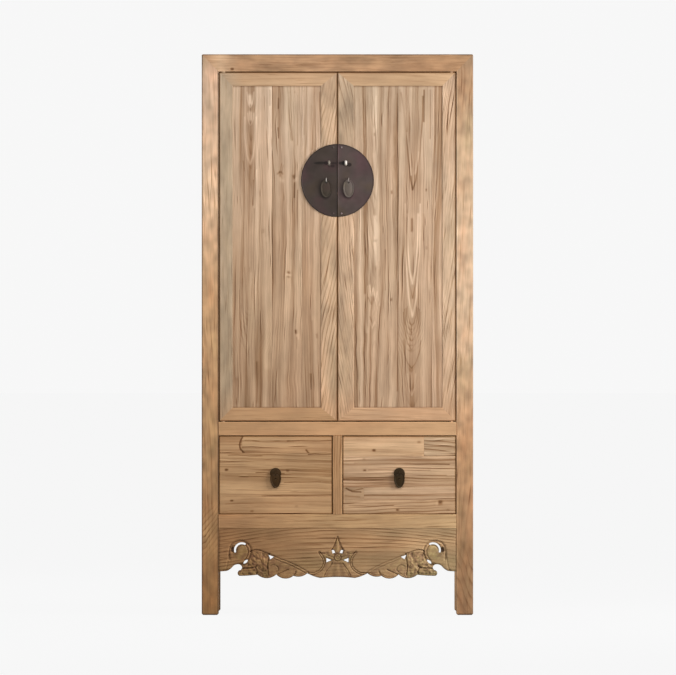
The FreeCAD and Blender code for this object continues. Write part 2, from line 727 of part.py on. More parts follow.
def drawer_back():
    """The drawer's rear wall, housed between the sides above the bottom."""
    z0 = DRAWER_Z0 + DRAWER_BOTTOM_UP + DRAWER_BOTTOM_T
    lap = DRAWER_WALL_T / 2
    y1 = DRAWER_BACK - DRAWER_WALL_T
    x0 = DRAWER_X0 + DRAWER_WALL_T - lap
    x1 = DRAWER_X1 - DRAWER_WALL_T + lap
    return box(x0, x1, y1 - DRAWER_WALL_T, y1, z0, DRAWER_TOP)


def drawer_bottom():
    """The thin board grooved into the front and the sides."""
    inset = DRAWER_WALL_T - DRAWER_BOTTOM_IN
    z0 = DRAWER_Z0 + DRAWER_BOTTOM_UP
    y0 = DOOR_FRONT + DRAWER_FRONT_T - DRAWER_BOTTOM_IN
    y1 = DRAWER_BACK - DRAWER_WALL_T
    return box(DRAWER_X0 + inset, DRAWER_X1 - inset, y0, y1, z0, z0 + DRAWER_BOTTOM_T)


def rosette():
    """The round plate behind a drawer pull."""
    return rod(ROSETTE_R, ROSETTE_T, V(DRAWER_PULL_X, DOOR_FRONT - ROSETTE_T, DRAWER_PULL_Z), V(0, 1, 0))


# Assembly

def carcass():
    """Every fixed piece of the cabinet, by name."""
    form = outer_form()
    room = GROOVE_DEPTH + GROOVE_SLACK
    post = plain_post(form)
    bays = ((MID_RAIL_TOP, TOP_RAIL_Z), (BOTTOM_RAIL_TOP, MID_RAIL_Z))
    left_rooms = [side_panel(z0, z1, room) for z0, z1 in bays]
    back_rooms = [back_panel(z0, z1, room) for z0, z1 in bays]
    floor_room = compartment_floor(room)
    lid_room = top_panel(room)
    mid_front = front_rail(MID_RAIL_Z, MID_RAIL_TOP, (MID_RAIL_Z, MID_RAIL_TOP))
    low_front = front_rail(BOTTOM_RAIL_Z, BOTTOM_RAIL_TOP, (BOTTOM_RAIL_TOP,))
    mid_left = side_rail(MID_RAIL_Z, MID_RAIL_TOP)
    low_left = side_rail(BOTTOM_RAIL_Z, BOTTOM_RAIL_TOP)
    battens = [shelf_batten(top) for top in SHELF_TOPS]
    board = apron()
    divider = divider_post()
    sockets = pivot_sockets()
    sockets = sockets + tuple(mirror_x(socket) for socket in sockets)
    front_top = top_rail_front_form(form)
    side_top = top_rail_side_form(form)
    front_post = housed(post, mid_front, low_front, mid_left, low_left, board, *left_rooms, *battens)
    rear_mates = [mirror_y(rail) for rail in (mid_front, low_front)]
    rear_post = housed(mirror_y(post), mid_left, low_left, *rear_mates, *left_rooms, *back_rooms, *battens)
    left_mid = housed(mid_left, floor_room, *left_rooms)
    left_low = housed(low_left, *left_rooms)
    left_top = housed(side_top, lid_room, *left_rooms)
    panels = Part.makeCompound([side_panel(z0, z1, GROOVE_DEPTH) for z0, z1 in bays])
    runner = side_runner()
    pieces = {
        "top_rail_front": housed(front_top, lid_room, *sockets),
        "top_rail_back": housed(mirror_y(front_top), lid_room, *back_rooms),
        "mid_rail_front": housed(mid_front, floor_room, divider, *sockets),
        "mid_rail_back": housed(mirror_y(mid_front), floor_room, *back_rooms),
        "bottom_rail_front": housed(low_front, divider, board),
        "bottom_rail_back": housed(mirror_y(low_front), *back_rooms),
        "top_panel": top_panel(GROOVE_DEPTH),
        "back_panels": Part.makeCompound([back_panel(z0, z1, GROOVE_DEPTH) for z0, z1 in bays]),
        "front_apron": board,
        "drawer_divider_post": divider,
        "drawer_runners": Part.makeCompound([runner, centre_runner(), mirror_x(runner)]),
        "compartment_floor": compartment_floor(GROOVE_DEPTH),
        "shelves": Part.makeCompound([shelf(top) for top in SHELF_TOPS]),
        "shelf_battens": Part.makeCompound(battens + [mirror_x(batten) for batten in battens]),
    }
    for side in ("left", "right"):
        pieces["front_post_" + side] = on_side(front_post, side)
        pieces["rear_post_" + side] = on_side(rear_post, side)
        pieces["top_rail_" + side] = on_side(left_top, side)
        pieces["mid_rail_" + side] = on_side(left_mid, side)
        pieces["bottom_rail_" + side] = on_side(left_low, side)
        pieces[side + "_side_panels"] = on_side(panels, side)
    return pieces


def door():
    """Every piece of the left door, by name."""
    panel_room = door_panel(GROOVE_DEPTH + GROOVE_SLACK, 0)
    battens = [door_batten(level) for level in DOOR_BATTEN_LEVELS]
    low_tenons = door_rail_tenons(DOOR_Z0)
    high_tenons = door_rail_tenons(DOOR_IN_Z1)
    pull_x = DOOR_X1 - DOOR_PULL_FROM_SEAM
    wire = staple(pull_x, PLATE_FRONT, DOOR_BACK, DOOR_PULL_Z)
    eye = lock_eye()
    hinge = door_member((DOOR_X0, DOOR_Z1), (DOOR_X0, DOOR_Z0))
    meeting = door_member((DOOR_X1, DOOR_Z0), (DOOR_X1, DOOR_Z1))
    low = door_member((DOOR_X0, DOOR_Z0), (DOOR_X1, DOOR_Z0))
    high = door_member((DOOR_X1, DOOR_Z1), (DOOR_X0, DOOR_Z1))
    pins = door_pivots()
    hinge = fused(worn(hinge, V(0, 0, 1)), *pins)
    cuts = [panel_room, low_tenons, high_tenons]
    return {
        "hinge_stile": housed(hinge, *cuts, *battens),
        "meeting_stile": housed(worn(meeting, V(0, 0, 1)), *cuts, *battens, eye, wire),
        "bottom_rail": housed(fused(worn(low, V(1, 0, 0)), low_tenons), panel_room, *pins),
        "top_rail": housed(fused(worn(high, V(1, 0, 0)), high_tenons), panel_room, *pins),
        "panel": housed(door_panel(GROOVE_DEPTH, DOOR_PANEL_SLACK), *battens),
        "battens": Part.makeCompound(battens),
        "lock_plate": housed(lock_plate(), eye, wire),
        "lock_eye": eye,
        "pull_staple": wire,
        "pull": pull(pull_x, PLATE_FRONT, DOOR_PULL_Z, DOOR_PULL_LENGTH),
    }


def drawer():
    """Every piece of the left drawer, by name."""
    sides = drawer_sides()
    back = drawer_back()
    bottom = drawer_bottom()
    plate_front = DOOR_FRONT - ROSETTE_T
    wire = staple(DRAWER_PULL_X, plate_front, DOOR_FRONT + DRAWER_FRONT_T, DRAWER_PULL_Z)
    return {
        "front": housed(drawer_front(), bottom, wire, *sides),
        "sides": Part.makeCompound([housed(side, bottom, back) for side in sides]),
        "back": back,
        "bottom": bottom,
        "pull_mount": Part.makeCompound([housed(rosette(), wire), wire]),
        "pull": pull(DRAWER_PULL_X, plate_front, DRAWER_PULL_Z, DRAWER_PULL_LENGTH),
    }


def main():
    pieces = carcass()
    for kind, leaves in (("door", door()), ("drawer", drawer())):
        for side in ("left", "right"):
            for name, piece in leaves.items():
                pieces["%s_%s_%s" % (side, kind, name)] = on_side(piece, side)
    for name, piece in sorted(pieces.items()):
        piece.exportStep("parts/%s.step" % name)


main()
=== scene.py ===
"""Dresses the round-lock cabinet: brushed wood boards, dark iron fittings and the carving of the apron.

Metres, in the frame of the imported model: +Z up, the front faces -Y, +X is to the right of someone facing it.
"""
import math
from dataclasses import dataclass

import bmesh
import bpy
import numpy as np
from mathutils import Matrix, Vector

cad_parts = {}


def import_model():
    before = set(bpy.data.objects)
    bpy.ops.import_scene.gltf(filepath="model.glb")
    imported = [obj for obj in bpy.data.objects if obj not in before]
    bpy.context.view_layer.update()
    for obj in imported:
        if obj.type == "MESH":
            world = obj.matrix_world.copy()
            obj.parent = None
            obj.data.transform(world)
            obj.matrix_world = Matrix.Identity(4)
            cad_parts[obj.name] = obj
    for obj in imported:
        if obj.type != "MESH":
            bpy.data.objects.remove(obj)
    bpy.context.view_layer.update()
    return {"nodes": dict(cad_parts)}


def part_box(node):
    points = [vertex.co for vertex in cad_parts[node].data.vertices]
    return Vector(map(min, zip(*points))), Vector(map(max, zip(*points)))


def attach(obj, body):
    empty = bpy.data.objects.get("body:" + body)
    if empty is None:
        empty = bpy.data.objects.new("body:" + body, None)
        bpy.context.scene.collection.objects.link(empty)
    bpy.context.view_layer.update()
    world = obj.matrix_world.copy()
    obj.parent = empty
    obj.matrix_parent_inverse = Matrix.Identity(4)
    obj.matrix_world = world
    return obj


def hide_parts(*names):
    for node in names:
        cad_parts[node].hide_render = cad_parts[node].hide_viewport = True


MM = 0.001
SIDES = (("left", -1), ("right", 1))

# Turns what lies flat towards the front
UPRIGHT = Matrix.Rotation(math.pi / 2, 4, "X")

# Where the faces of the cabinet and of its panels lie
FRONT_Y = -0.250
BACK_Y = 0.250
SIDE_X = 0.484
TALL = 2.0
SIDE_PANEL_X = 0.476
BACK_PANEL_Y = 0.242
TOP_PANEL_Z = 1.994

# Camera: a long lens far in front, so that the view is almost square on; PIXEL is what one shows of the front
CAMERA_FAR = 30.0
CAMERA_X = 0.0020
CAMERA_Z = 0.9898
PICTURE_PIXELS = 676
PIXEL = 0.0035663
SENSOR = 36.0
CLIP_FAR = 400.0

# Lamps: watts, place, aim and size
KEY = (150.0, (3.3, -1.40, 1.85), (0.0, -0.25, 1.65), (1.2, 1.0))
FILL = (108.0, (-0.3, -4.2, 4.0), (0.0, -0.25, 1.45), (3.0, 2.4))
REAR = (95.0, (-3.4, 3.4, 2.6), (0.0, 0.10, 1.10), (2.4, 2.4))
AMBIENT = 0.22

# Surroundings: how bright they show, and how much of its shade the floor keeps
BACKDROP = 0.932
FLOOR_GLOW = 0.975
FLOOR_SHOW = 0.060
FLOOR_GREY = 0.35
FLOOR_SPREAD = 120.0


# Shader maths

class Socket:
    """One output of a shader node; arithmetic on it adds Math nodes."""

    def __init__(self, sheet, output):
        self.sheet = sheet
        self.output = output

    def math(self, operation, *others):
        """A Math node with this value as its first input."""
        return self.sheet.node("Math", {"operation": operation}, dict(enumerate((self,) + others)))

    def clamped(self):
        """The value kept between 0 and 1."""
        return self.sheet.node("Clamp", {}, {0: self})

    def above(self, level, gain):
        """How far the value lies above a level, times a gain, between 0 and 1."""
        return ((self - level) * gain).clamped()

    def below(self, level, gain):
        """How far the value lies below a level, times a gain, between 0 and 1."""
        return ((level - self) * gain).clamped()

    def __add__(self, other):
        return self.math("ADD", other)

    def __sub__(self, other):
        return self.math("SUBTRACT", other)

    def __rsub__(self, other):
        return self.sheet.node("Math", {"operation": "SUBTRACT"}, {0: other, 1: self})

    def __mul__(self, other):
        return self.math("MULTIPLY", other)

    def __truediv__(self, other):
        return self.math("DIVIDE", other)

    __radd__ = __add__
    __rmul__ = __mul__


# What a seed shifts a noise by, along each axis
NOISE_SHIFT = (1.37, 2.11, 3.53)


class Sheet:
    """The node tree of one material, or of the world."""

    def __init__(self, name, kind=None):
        self.owner = (bpy.data.materials if kind is None else kind).new(name)
        self.owner.use_nodes = True
        self.tree = self.owner.node_tree
        self.tree.nodes.clear()

    def node(self, kind, settings, inputs, output=0):
        """Adds a node, sets it up, fills or links its inputs and returns one output, or all for None."""
        made = self.tree.nodes.new("ShaderNode" + kind)
        for name, value in settings.items():
            if name == "stops":
                set_stops(made.color_ramp, value)
            else:
                setattr(made, name, value)
        for name, value in inputs.items():
            if isinstance(value, Socket):
                self.tree.links.new(value.output, made.inputs[name])
            else:
                made.inputs[name].default_value = value
        if output is None:
            return [Socket(self, out) for out in made.outputs]
        return Socket(self, made.outputs[output])

    def place(self):
        """The place of a spot on the object."""
        return self.node("TexCoord", {}, {}, "Object")

    def attribute(self, name):
        """A value that the mesh brings for each of its points."""
        return self.node("Attribute", {"attribute_name": name}, {}, "Fac")

    def noise(self, place, scale, seed, detail=2.0, roughness=0.5):
        """Noise in a space that is stretched by three scales and shifted by a seed."""
        shift = tuple(step * seed for step in NOISE_SHIFT)
        spot = self.node("VectorMath", {"operation": "MULTIPLY_ADD"}, {0: place, 1: scale, 2: shift})
        inputs = {"Vector": spot, "Scale": 1.0, "Detail": detail, "Roughness": roughness}
        return self.node("TexNoise", {}, inputs)

    def scaled(self, colour, gain):
        """A colour made lighter or darker."""
        return self.node("VectorMath", {"operation": "SCALE"}, {0: colour, 3: gain})

    def tinted(self, share, colour, tint):
        """A colour with a share of a tint laid over it."""
        settings = {"data_type": "RGBA", "blend_type": "MULTIPLY"}
        laid = tint if isinstance(tint, Socket) else (*tint, 1.0)
        return self.node("Mix", settings, {0: share, 6: colour, 7: laid}, 2)

    def ramp(self, value, stops):
        """A colour ramp."""
        return self.node("ValToRGB", {"stops": stops}, {0: value})

    def finish(self, shader, kind="OutputMaterial"):
        """Links the surface and returns the material or the world."""
        self.node(kind, {}, {"Surface": shader}, None)
        return self.owner


def set_stops(ramp, stops):
    """Puts the given stops on a colour ramp."""
    while len(ramp.elements) < len(stops):
        ramp.elements.new(1.0)
    for element, (place, colour) in zip(ramp.elements, stops):
        element.position = place
        element.color = colour if len(colour) == 4 else tuple(colour) + (1.0,)


def grey(value):
    """A grey colour."""
    return (value, value, value, 1.0)


def tone(red, green, blue):
    """A colour given as it looks on a screen, 0 to 255, as the light it reflects."""
    def light(part):
        share = part / 255
        return share / 12.92 if share <= 0.04045 else ((share + 0.055) / 1.055) ** 2.4
    return (light(red), light(green), light(blue))


def shares_of(mean, stops):
    """Stops of a colour ramp, from stops that are given as shares of a mean colour."""
    return tuple((at, tuple(share * part for share, part in zip(shares, mean))) for at, shares in stops)


# Wood

# A year's ring, from pale early wood to a dark late line and a sharp end
RING_AT = (0.0, 0.45, 0.70, 0.86, 0.97)
RING_DARK = (0.05, 0.15, 0.55, 1.0, 0.20)
RING_MEAN = 0.36

# Shares of a board's mean colour at some values of its grain, from pale to dark
GRAIN_TONES = (
    (-0.65, (1.62, 1.78, 1.94)), (-0.40, (1.36, 1.44, 1.52)), (0.0, (1.0, 1.0, 1.0)),
    (0.35, (0.62, 0.53, 0.43)), (0.60, (0.31, 0.23, 0.16)))

# Noises of a board: a shift that keeps them apart, how many go to a metre across it, into it and along it,
# and their detail and roughness
BOARD_NOISE = {
    "bend": (0, (5.0, 5.0, 1.5), 1.0),
    "ripple": (5, (34.0, 34.0, 5.0), 1.0),
    "strokes": (11, (80.0, 80.0, 3.2), 2.0, 0.55),
    "cracks": (17, (240.0, 240.0, 9.0), 1.0),
    "brushed_hair": (23, (420.0, 420.0, 14.0), 2.0),
    "sawn_hair": (23, (520.0, 520.0, 14.0), 1.0),
    "wander": (37, (2.0, 2.0, 1.7), 1.0),
    "uneven": (41, (12.0, 12.0, 0.8), 1.0),
    "figured": (53, (14.0, 14.0, 4.5), 1.0),
    "worked_cast": (61, (75.0, 75.0, 75.0), 2.0),
    "hidden": (71, (90.0, 90.0, 2.6), 3.0, 0.6),
}

# Sawn grain: how far noises move it aside, move its pith and shift its years
RIPPLE_ASIDE = 0.008
WANDER_DEEP = 0.03
UNEVEN_YEARS = 1.6

# Cracks and figured places show above a level of their noise, with a gain; then the mean of the cracks,
# the share of the grain in plain places and the strength of the strokes
CRACKS_FROM = (0.57, 6)
CRACKS_MEAN = 0.16
FIGURED_FROM = (0.40, 3.5)
PLAIN_SHARE = 0.35
STROKE_GAIN = 2.2

# A slanting figure: its strength, its share in plain places, and how far the ripple moves it
FLAME_GAIN = 1.15
FLAME_SHARE = 0.25
FLAME_ASIDE = 0.03

# Knots of a sawn piece: length to width, how far they push the grain aside, how that fades, rim and darkness
KNOT = (1.35, 0.8, 0.22, 1.15, 0.5)

# Fine lines on brushed and on sawn wood, grain behind the face of a brushed board, and what carving smooths
BRUSHED_FINE = 0.9
SAWN_FINE = 0.7
HIDDEN_GRAIN = 1.3
WORKED_SMOOTH = 0.85

# Warmer and greyer patches
WARM_CAST = (1.08, 0.97, 0.93)
COOL_CAST = (0.92, 1.00, 0.95)

# Worked ground of a carving, from brown to pale, moss on it, and old dirt with painted shade in its cuts
WORKED_CASTS = (
    (0.36, (0.78, 0.70, 0.75)), (0.47, (1.01, 0.98, 1.00)), (0.56, (1.09, 1.12, 1.02)),
    (0.64, (1.30, 1.36, 1.37)))
MOSS_CAST = (0.88, 0.97, 0.90)
DIRT_AND_SHADE_CAST = (0.20, 0.16, 0.13)

# Edges that reach less than this show on the front alone, down to its skin
EDGE_BROAD = 0.05
FRONT_SKIN = FRONT_Y + 0.0045


@dataclass
class Board:
    """How one board was cut from its tree, its wear, and the painted shade and highlight along its edges."""
    grain: str  # axes along the grain, across it and into the board
    mean: tuple  # mean colour, given as it looks on a screen
    seed: float
    face: float = FRONT_Y  # where its face lies
    pith: float = 0.0  # where the pith runs, across the board
    below: float = 0.05  # how far the pith lies behind the face
    slope: float = 0.0  # how that depth grows along the grain
    heart: tuple = ()  # or that depth at some places along the grain
    sharp: float = 1.0  # how much the year lines are drawn together
    start: float = 0.0  # where slope, lean and arch begin
    lean: float = 0.0  # how far the grain leans aside
    arch: float = 0.0  # how far it bends
    ring: float = 0.007  # width of a year's ring
    sway: float = 0.020  # how far the grain wanders
    late: float = 0.40  # strength of the year lines
    streak: float = 0.15  # strength of the streaks
    fine: float = 0.28  # strength of the fine lines
    hairs: int = 330  # cracks to a square metre
    bands: float = 0.11  # strength of the broad bands
    patchy: float = 0.30  # strength of the light and dark patches
    blotch: tuple = (22.0, 8.0, 3.0)  # patches to a metre across and along, and their detail
    rosy: float = 0.45  # strength of the warm and grey patches
    relief: float = 0.5  # strength of the bump
    hidden: float = 0.0  # strength of more grain behind the face
    knots: tuple = ()  # places across and along, and sizes
    marks: tuple = ()  # paths, widths and darkness
    edges: tuple = ()  # axes, places, reaches and tints
    ages: tuple = ()  # levels and tints
    flame: tuple = ()  # middle, half height, slant and pitch of a slanting figure
    carved: bool = False

    def __post_init__(self):
        self.mean = tone(*self.mean)

    def noise(self, sheet, spot, kind):
        """One of the noises of this board."""
        shift, scale, *detail = BOARD_NOISE[kind]
        return sheet.noise(spot, scale, self.seed + shift, *detail)


def wood(name, board, brushed=False):
    """Old softwood; a brushed board brings its own grain, the others get theirs here."""
    sheet = Sheet(name)
    place = sheet.place()
    axes = dict(zip("xyz", sheet.node("SeparateXYZ", {}, {0: place}, None)))
    along, across, depth = (axes[letter] for letter in board.grain)
    spot = sheet.node("CombineXYZ", {}, {0: across, 1: depth, 2: along})
    if brushed:
        hidden = HIDDEN_GRAIN
        hair = board.noise(sheet, spot, "brushed_hair")
        dark = sheet.attribute("grain") + (hair - 0.5) * board.fine * BRUSHED_FINE
        height = hair * -0.5
    else:
        hidden = board.hidden
        hair = board.noise(sheet, spot, "sawn_hair")
        grain = sawn_grain(sheet, board, spot, across, along, depth)
        if board.carved:
            grain = grain * (1 - sheet.attribute("worked") * WORKED_SMOOTH)
        dark = grain + (hair - 0.5) * board.fine * SAWN_FINE
        height = grain * -0.7 - hair * 0.3
    if hidden:
        behind = axes["y"].above(FRONT_SKIN, 1 / MM)
        dark = dark + (board.noise(sheet, spot, "hidden") - 0.5) * behind * hidden
    colour = stained(sheet, board, dark, spot)
    if board.carved:
        colour = soiled_and_shaded(sheet, board, colour, place)
    colour = edge_and_level_tinted(sheet, board, colour, axes)
    bump = sheet.node("Bump", {}, {"Strength": board.relief, "Distance": 0.003, "Height": height})
    shader = sheet.node("BsdfPrincipled", {}, {
        "Base Color": colour, "Roughness": 0.56 + hair * 0.16, "Specular IOR Level": 0.25, "Normal": bump})
    return sheet.finish(shader)


def sawn_grain(sheet, board, spot, across, along, depth):
    """Year lines, broad streaks and fine lines of a sawn piece; above 0 is darker, below 0 paler."""
    bend = board.noise(sheet, spot, "bend") - 0.5
    ripple = board.noise(sheet, spot, "ripple") - 0.5
    rise = along - board.start
    swum = across + bend * board.sway * 2 + ripple * RIPPLE_ASIDE - rise * board.lean
    knotted = 0.0
    long, push, fade, rim, dark = KNOT
    for at_across, at_along, size in board.knots:
        side = across - at_across
        up = (along - at_along) / (long * size)
        near = side * side / (size * size) + up * up
        swum = swum - side * push * (near * -fade).math("EXPONENT")
        knotted = knotted + near.below(rim, 1) * dark
    lane = sheet.node("CombineXYZ", {}, {0: swum, 1: depth, 2: along})
    out = swum - board.pith + rise * rise * board.arch
    wander = board.noise(sheet, spot, "wander") - 0.5
    down = (depth - board.face) + rise * board.slope + wander * WANDER_DEEP + board.below
    radius = (out * out + down * down).math("SQRT")
    phase = radius / board.ring + board.noise(sheet, spot, "uneven") * UNEVEN_YEARS
    strokes = board.noise(sheet, lane, "strokes")
    cracks = board.noise(sheet, lane, "cracks").above(*CRACKS_FROM) - CRACKS_MEAN
    figured = board.noise(sheet, spot, "figured").above(*FIGURED_FROM)
    grain = year_line(sheet, phase) * strokes * board.late * 2
    grain = grain + (strokes - 0.5) * STROKE_GAIN * board.streak + cracks * board.fine
    grain = grain * (PLAIN_SHARE + figured)
    if board.flame:
        middle, half, slant, pitch = board.flame
        wave = year_line(sheet, (swum - along * slant + ripple * FLAME_ASIDE) / pitch)
        near = (1 - (along - middle).math("ABSOLUTE") / half).clamped()
        grain = grain + wave * near * (FLAME_SHARE + figured) * FLAME_GAIN
    return grain + knotted


def year_line(sheet, phase):
    """Darkness of the year lines, about 0, where the phase counts the years."""
    stops = tuple((at, grey(dark)) for at, dark in zip(RING_AT, RING_DARK))
    return sheet.ramp(phase.math("FRACT"), stops) - RING_MEAN


def stained(sheet, board, dark, spot):
    """The board's colours from pale to dark, warmer in some places and greyer in others."""
    palest, darkest = GRAIN_TONES[0][0], GRAIN_TONES[-1][0]
    reach = darkest - palest
    stops = tuple(((level - palest) / reach, shares) for level, shares in GRAIN_TONES)
    colour = sheet.ramp(((dark - palest) / reach).clamped(), shares_of(board.mean, stops))
    wide, long, detail = board.blotch
    patch = sheet.noise(spot, (0.6 * wide, 0.6 * wide, 0.28 * long), board.seed + 47)
    colour = sheet.tinted(patch.above(0.50, 3.2) * board.rosy, colour, WARM_CAST)
    colour = sheet.tinted(patch.below(0.47, 3.2) * board.rosy, colour, COOL_CAST)
    cloud = sheet.noise(spot, (wide, wide, long), board.seed + 59, detail)
    return sheet.scaled(colour, (cloud - 0.5) * 2 * board.patchy + 1)


def soiled_and_shaded(sheet, board, colour, place):
    """Old grime and painted shade in the cuts of a carving and along its rim, and a browner or greener cast on
    what was worked.
    """
    cast = sheet.ramp(board.noise(sheet, place, "worked_cast"), WORKED_CASTS)
    colour = sheet.tinted(sheet.attribute("worked"), colour, cast)
    colour = sheet.tinted(sheet.attribute("moss"), colour, MOSS_CAST)
    return sheet.tinted(sheet.attribute("cut").clamped(), colour, DIRT_AND_SHADE_CAST)


def edge_and_level_tinted(sheet, board, colour, axes):
    """Tints along a board's edges, many of them painted shade by gaps and painted highlight on arrises, and
    tints at its levels.
    """
    for letter, position, reach, tint in board.edges:
        near = (1 - (axes[letter] - position).math("ABSOLUTE") / reach).clamped()
        if reach < EDGE_BROAD:
            near = near * axes["y"].below(FRONT_SKIN, 1 / MM)
        colour = sheet.tinted(near, colour, tint)
    if board.ages:
        stops = tuple((level / TALL, tint) for level, tint in board.ages)
        colour = sheet.tinted(1.0, colour, sheet.ramp(axes["z"] / TALL, stops))
    return colour


# Brushed boards: the soft wood is worn away between the year lines

# Steps of the mesh across the grain and along it, the eased edge, and how deep the brushing goes
GRAIN_STEP = 0.0012
LENGTH_STEP = 0.0036
EASE = 0.0008
BRUSHED_DEEP = 0.0006

# Random fields of a brushed board: typical width and length, how many waves make one up, and strength
DRIFTS = {
    "sway": (0.05, 0.30, 8, 0.30),
    "ripple": (0.030, 0.036, 16, 0.0010),
    "wavy": (0.02, 0.08, 10, 0.0012),
    "uneven": (0.015, 0.05, 14, 0.4),
    "heart": (0.2, 0.3, 6, 0.004),
    "phase": (0.03, 0.5, 8, 0.2),
    "fade": (0.014, 0.10, 20, 0.45),
    "bands": (0.008, 0.50, 14, 1.0),
    "strokes": (0.0022, 0.140, 40, 1.0),
    "patches": (0.025, 0.14, 12, 0.05),
}

# Marks and year lines come and go: mean strength, least and most
MARK_RANGE = (0.85, 0.3, 1.3)
YEAR_RANGE = (0.60, 0.05, 1.2)

# Streaks: where they begin, how far they go, and the strength of the pale ones
STREAK_FROM = 0.5
STREAK_MOST = 1.3
STREAK_PALE = 0.7

# Cracks: shortest half length and what is added on average; widths; least darkness, what is added on average
# and at most; lean; strength of the pale lip and how many widths beside it lies
CRACK_HALF = (0.015, 0.045)
CRACK_WIDTH = (0.0008, 0.0015)
CRACK_DARK = (0.15, 0.30, 0.75)
CRACK_LEAN = 0.010
CRACK_LIP = (0.4, 2.4)


def drift(draw, across, along, wide, long, count):
    """A smooth random field, mostly between -1 and 1, with a typical width and length."""
    field = np.zeros_like(across)
    for _ in range(count):
        turn_across, turn_along = draw.normal(0.0, 1.0, 2)
        turn = draw.uniform(0.0, 2 * math.pi)
        field += np.sin(turn_across * across / wide + turn_along * along / long + turn)
    return field / math.sqrt(count / 2)


def brushed_grain(board, across, along):
    """Grain of a brushed board at many spots; above 0 is darker and lower, below 0 paler."""
    draw = np.random.default_rng(board.seed)

    def field(kind, over=across):
        *spread, strength = DRIFTS[kind]
        return drift(draw, over, along, *spread) * strength

    def ranged(values, mean, least, most):
        return np.clip(mean + values, least, most)

    swum = across + field("sway") * board.sway
    swum += field("ripple")
    wavy = across + field("wavy")
    uneven = ranged(field("uneven"), *MARK_RANGE)
    spots = np.zeros_like(across)
    for path, width, dark in board.marks:
        spots += dark * uneven * np.exp(-(distance(path, wavy, along) / width) ** 2)
    rise = along - board.start
    out = (swum - board.pith - rise * board.lean) * board.sharp
    down = board.below + rise * board.slope
    if board.heart:
        down = np.interp(along, *zip(*board.heart))
    down = down + field("heart")
    phase = np.hypot(out, down) / board.ring + field("phase", swum)
    line = np.interp(phase % 1.0, RING_AT + (1.0,), RING_DARK + RING_DARK[:1]) - RING_MEAN
    fade = ranged(field("fade", swum), *YEAR_RANGE)
    bands = field("bands", swum)
    strokes = field("strokes", swum)
    dark_strokes = np.clip(strokes - STREAK_FROM, 0.0, STREAK_MOST)
    pale_strokes = np.clip(-strokes - STREAK_FROM, 0.0, STREAK_MOST)
    strokes = dark_strokes - STREAK_PALE * pale_strokes
    grain = line * fade * board.late + strokes * board.streak + bands * board.bands + field("patches")
    return grain + spots + hairlines(board, draw, swum, along)


def hairlines(board, draw, swum, along):
    """Thin dark cracks along the grain, each with a paler lip."""
    shade = np.zeros_like(swum)
    left, right, low, high = swum.min(), swum.max(), along.min(), along.max()
    lip, beside = CRACK_LIP
    for _ in range(int(board.hairs * (right - left) * (high - low))):
        at, middle = draw.uniform(left, right), draw.uniform(low, high)
        half = CRACK_HALF[0] + draw.exponential(CRACK_HALF[1])
        width = draw.uniform(*CRACK_WIDTH)
        dark = CRACK_DARK[0] + min(CRACK_DARK[2], draw.exponential(CRACK_DARK[1]))
        aside = (swum - at - (along - middle) * draw.normal(0.0, CRACK_LEAN)) / width
        reach = np.clip(1.0 - ((along - middle) / half) ** 2, 0.0, 1.0)
        shade += dark * reach * (np.exp(-aside ** 2) - lip * np.exp(-(aside - beside) ** 2 / 2))
    return shade


def steps(low, high, step):
    """Even steps from one edge to the other, with a short one at each edge."""
    count = max(2, round((high - low - 2 * EASE) / step))
    return np.concatenate(([low], np.linspace(low + EASE, high - EASE, count + 1), [high]))


def brushed_board(name, low, high, board, body, nodes=()):
    """A board whose face, towards the front, follows its grain."""
    upright = board.grain[0] == "z"
    xs = steps(low[0], high[0], GRAIN_STEP if upright else LENGTH_STEP)
    zs = steps(low[2], high[2], LENGTH_STEP if upright else GRAIN_STEP)
    work = bmesh.new()
    bmesh.ops.create_grid(work, x_segments=len(xs) - 1, y_segments=len(zs) - 1, size=0.5)
    flat = np.array([v.co[:2] for v in work.verts]) + 0.5
    x = np.interp(flat[:, 0], np.linspace(0, 1, len(xs)), xs)
    z = np.interp(flat[:, 1], np.linspace(0, 1, len(zs)), zs)
    grain = brushed_grain(board, x, z) if upright else brushed_grain(board, z, x)
    edge = np.minimum(np.minimum(x - low[0], high[0] - x), np.minimum(z - low[2], high[2] - z))
    sunk = np.clip(grain + 0.4, 0.0, 1.5) * BRUSHED_DEEP + (edge < EASE / 2) * EASE
    for vert, vx, vz, depth in zip(work.verts, x, z, sunk):
        vert.co = (vx, low[1] + depth, vz)
    close_behind(work, high[1])
    made = piece(name, work, body, wood(name + "_wood", board, brushed=True), nodes)
    shade = made.data.attributes.new("grain", "FLOAT", "POINT")
    values = np.zeros(len(made.data.vertices), dtype=np.float32)
    values[:len(grain)] = grain
    shade.data.foreach_set("value", values)
    return rounded(made, 40)


def close_behind(work, back):
    """Closes an open sheet with side walls and a flat back."""
    rim = [edge for edge in work.edges if edge.is_boundary]
    walls = bmesh.ops.extrude_edge_only(work, edges=rim)["geom"]
    for vert in walls:
        if isinstance(vert, bmesh.types.BMVert):
            vert.co.y = back
    bmesh.ops.holes_fill(work, edges=[edge for edge in work.edges if edge.is_boundary])


# Iron

# Shares of the mean colour over the mottle, and the casts of the clouds
IRON_TONES = ((0.28, (0.80, 0.80, 0.80)), (0.50, (1.0, 1.0, 1.0)), (0.76, (1.22, 1.20, 1.20)))
PURPLE_CAST = (1.14, 0.92, 1.04)
BROWN_CAST = (1.02, 1.00, 0.84)

# How many go to a metre, and how much darker the rim is
MOTTLE = (20.0, 20.0, 20.0)
PITS = (380.0, 380.0, 380.0)
CLOUDS = (14.0, 14.0, 14.0)
RIM_DARK = 0.6


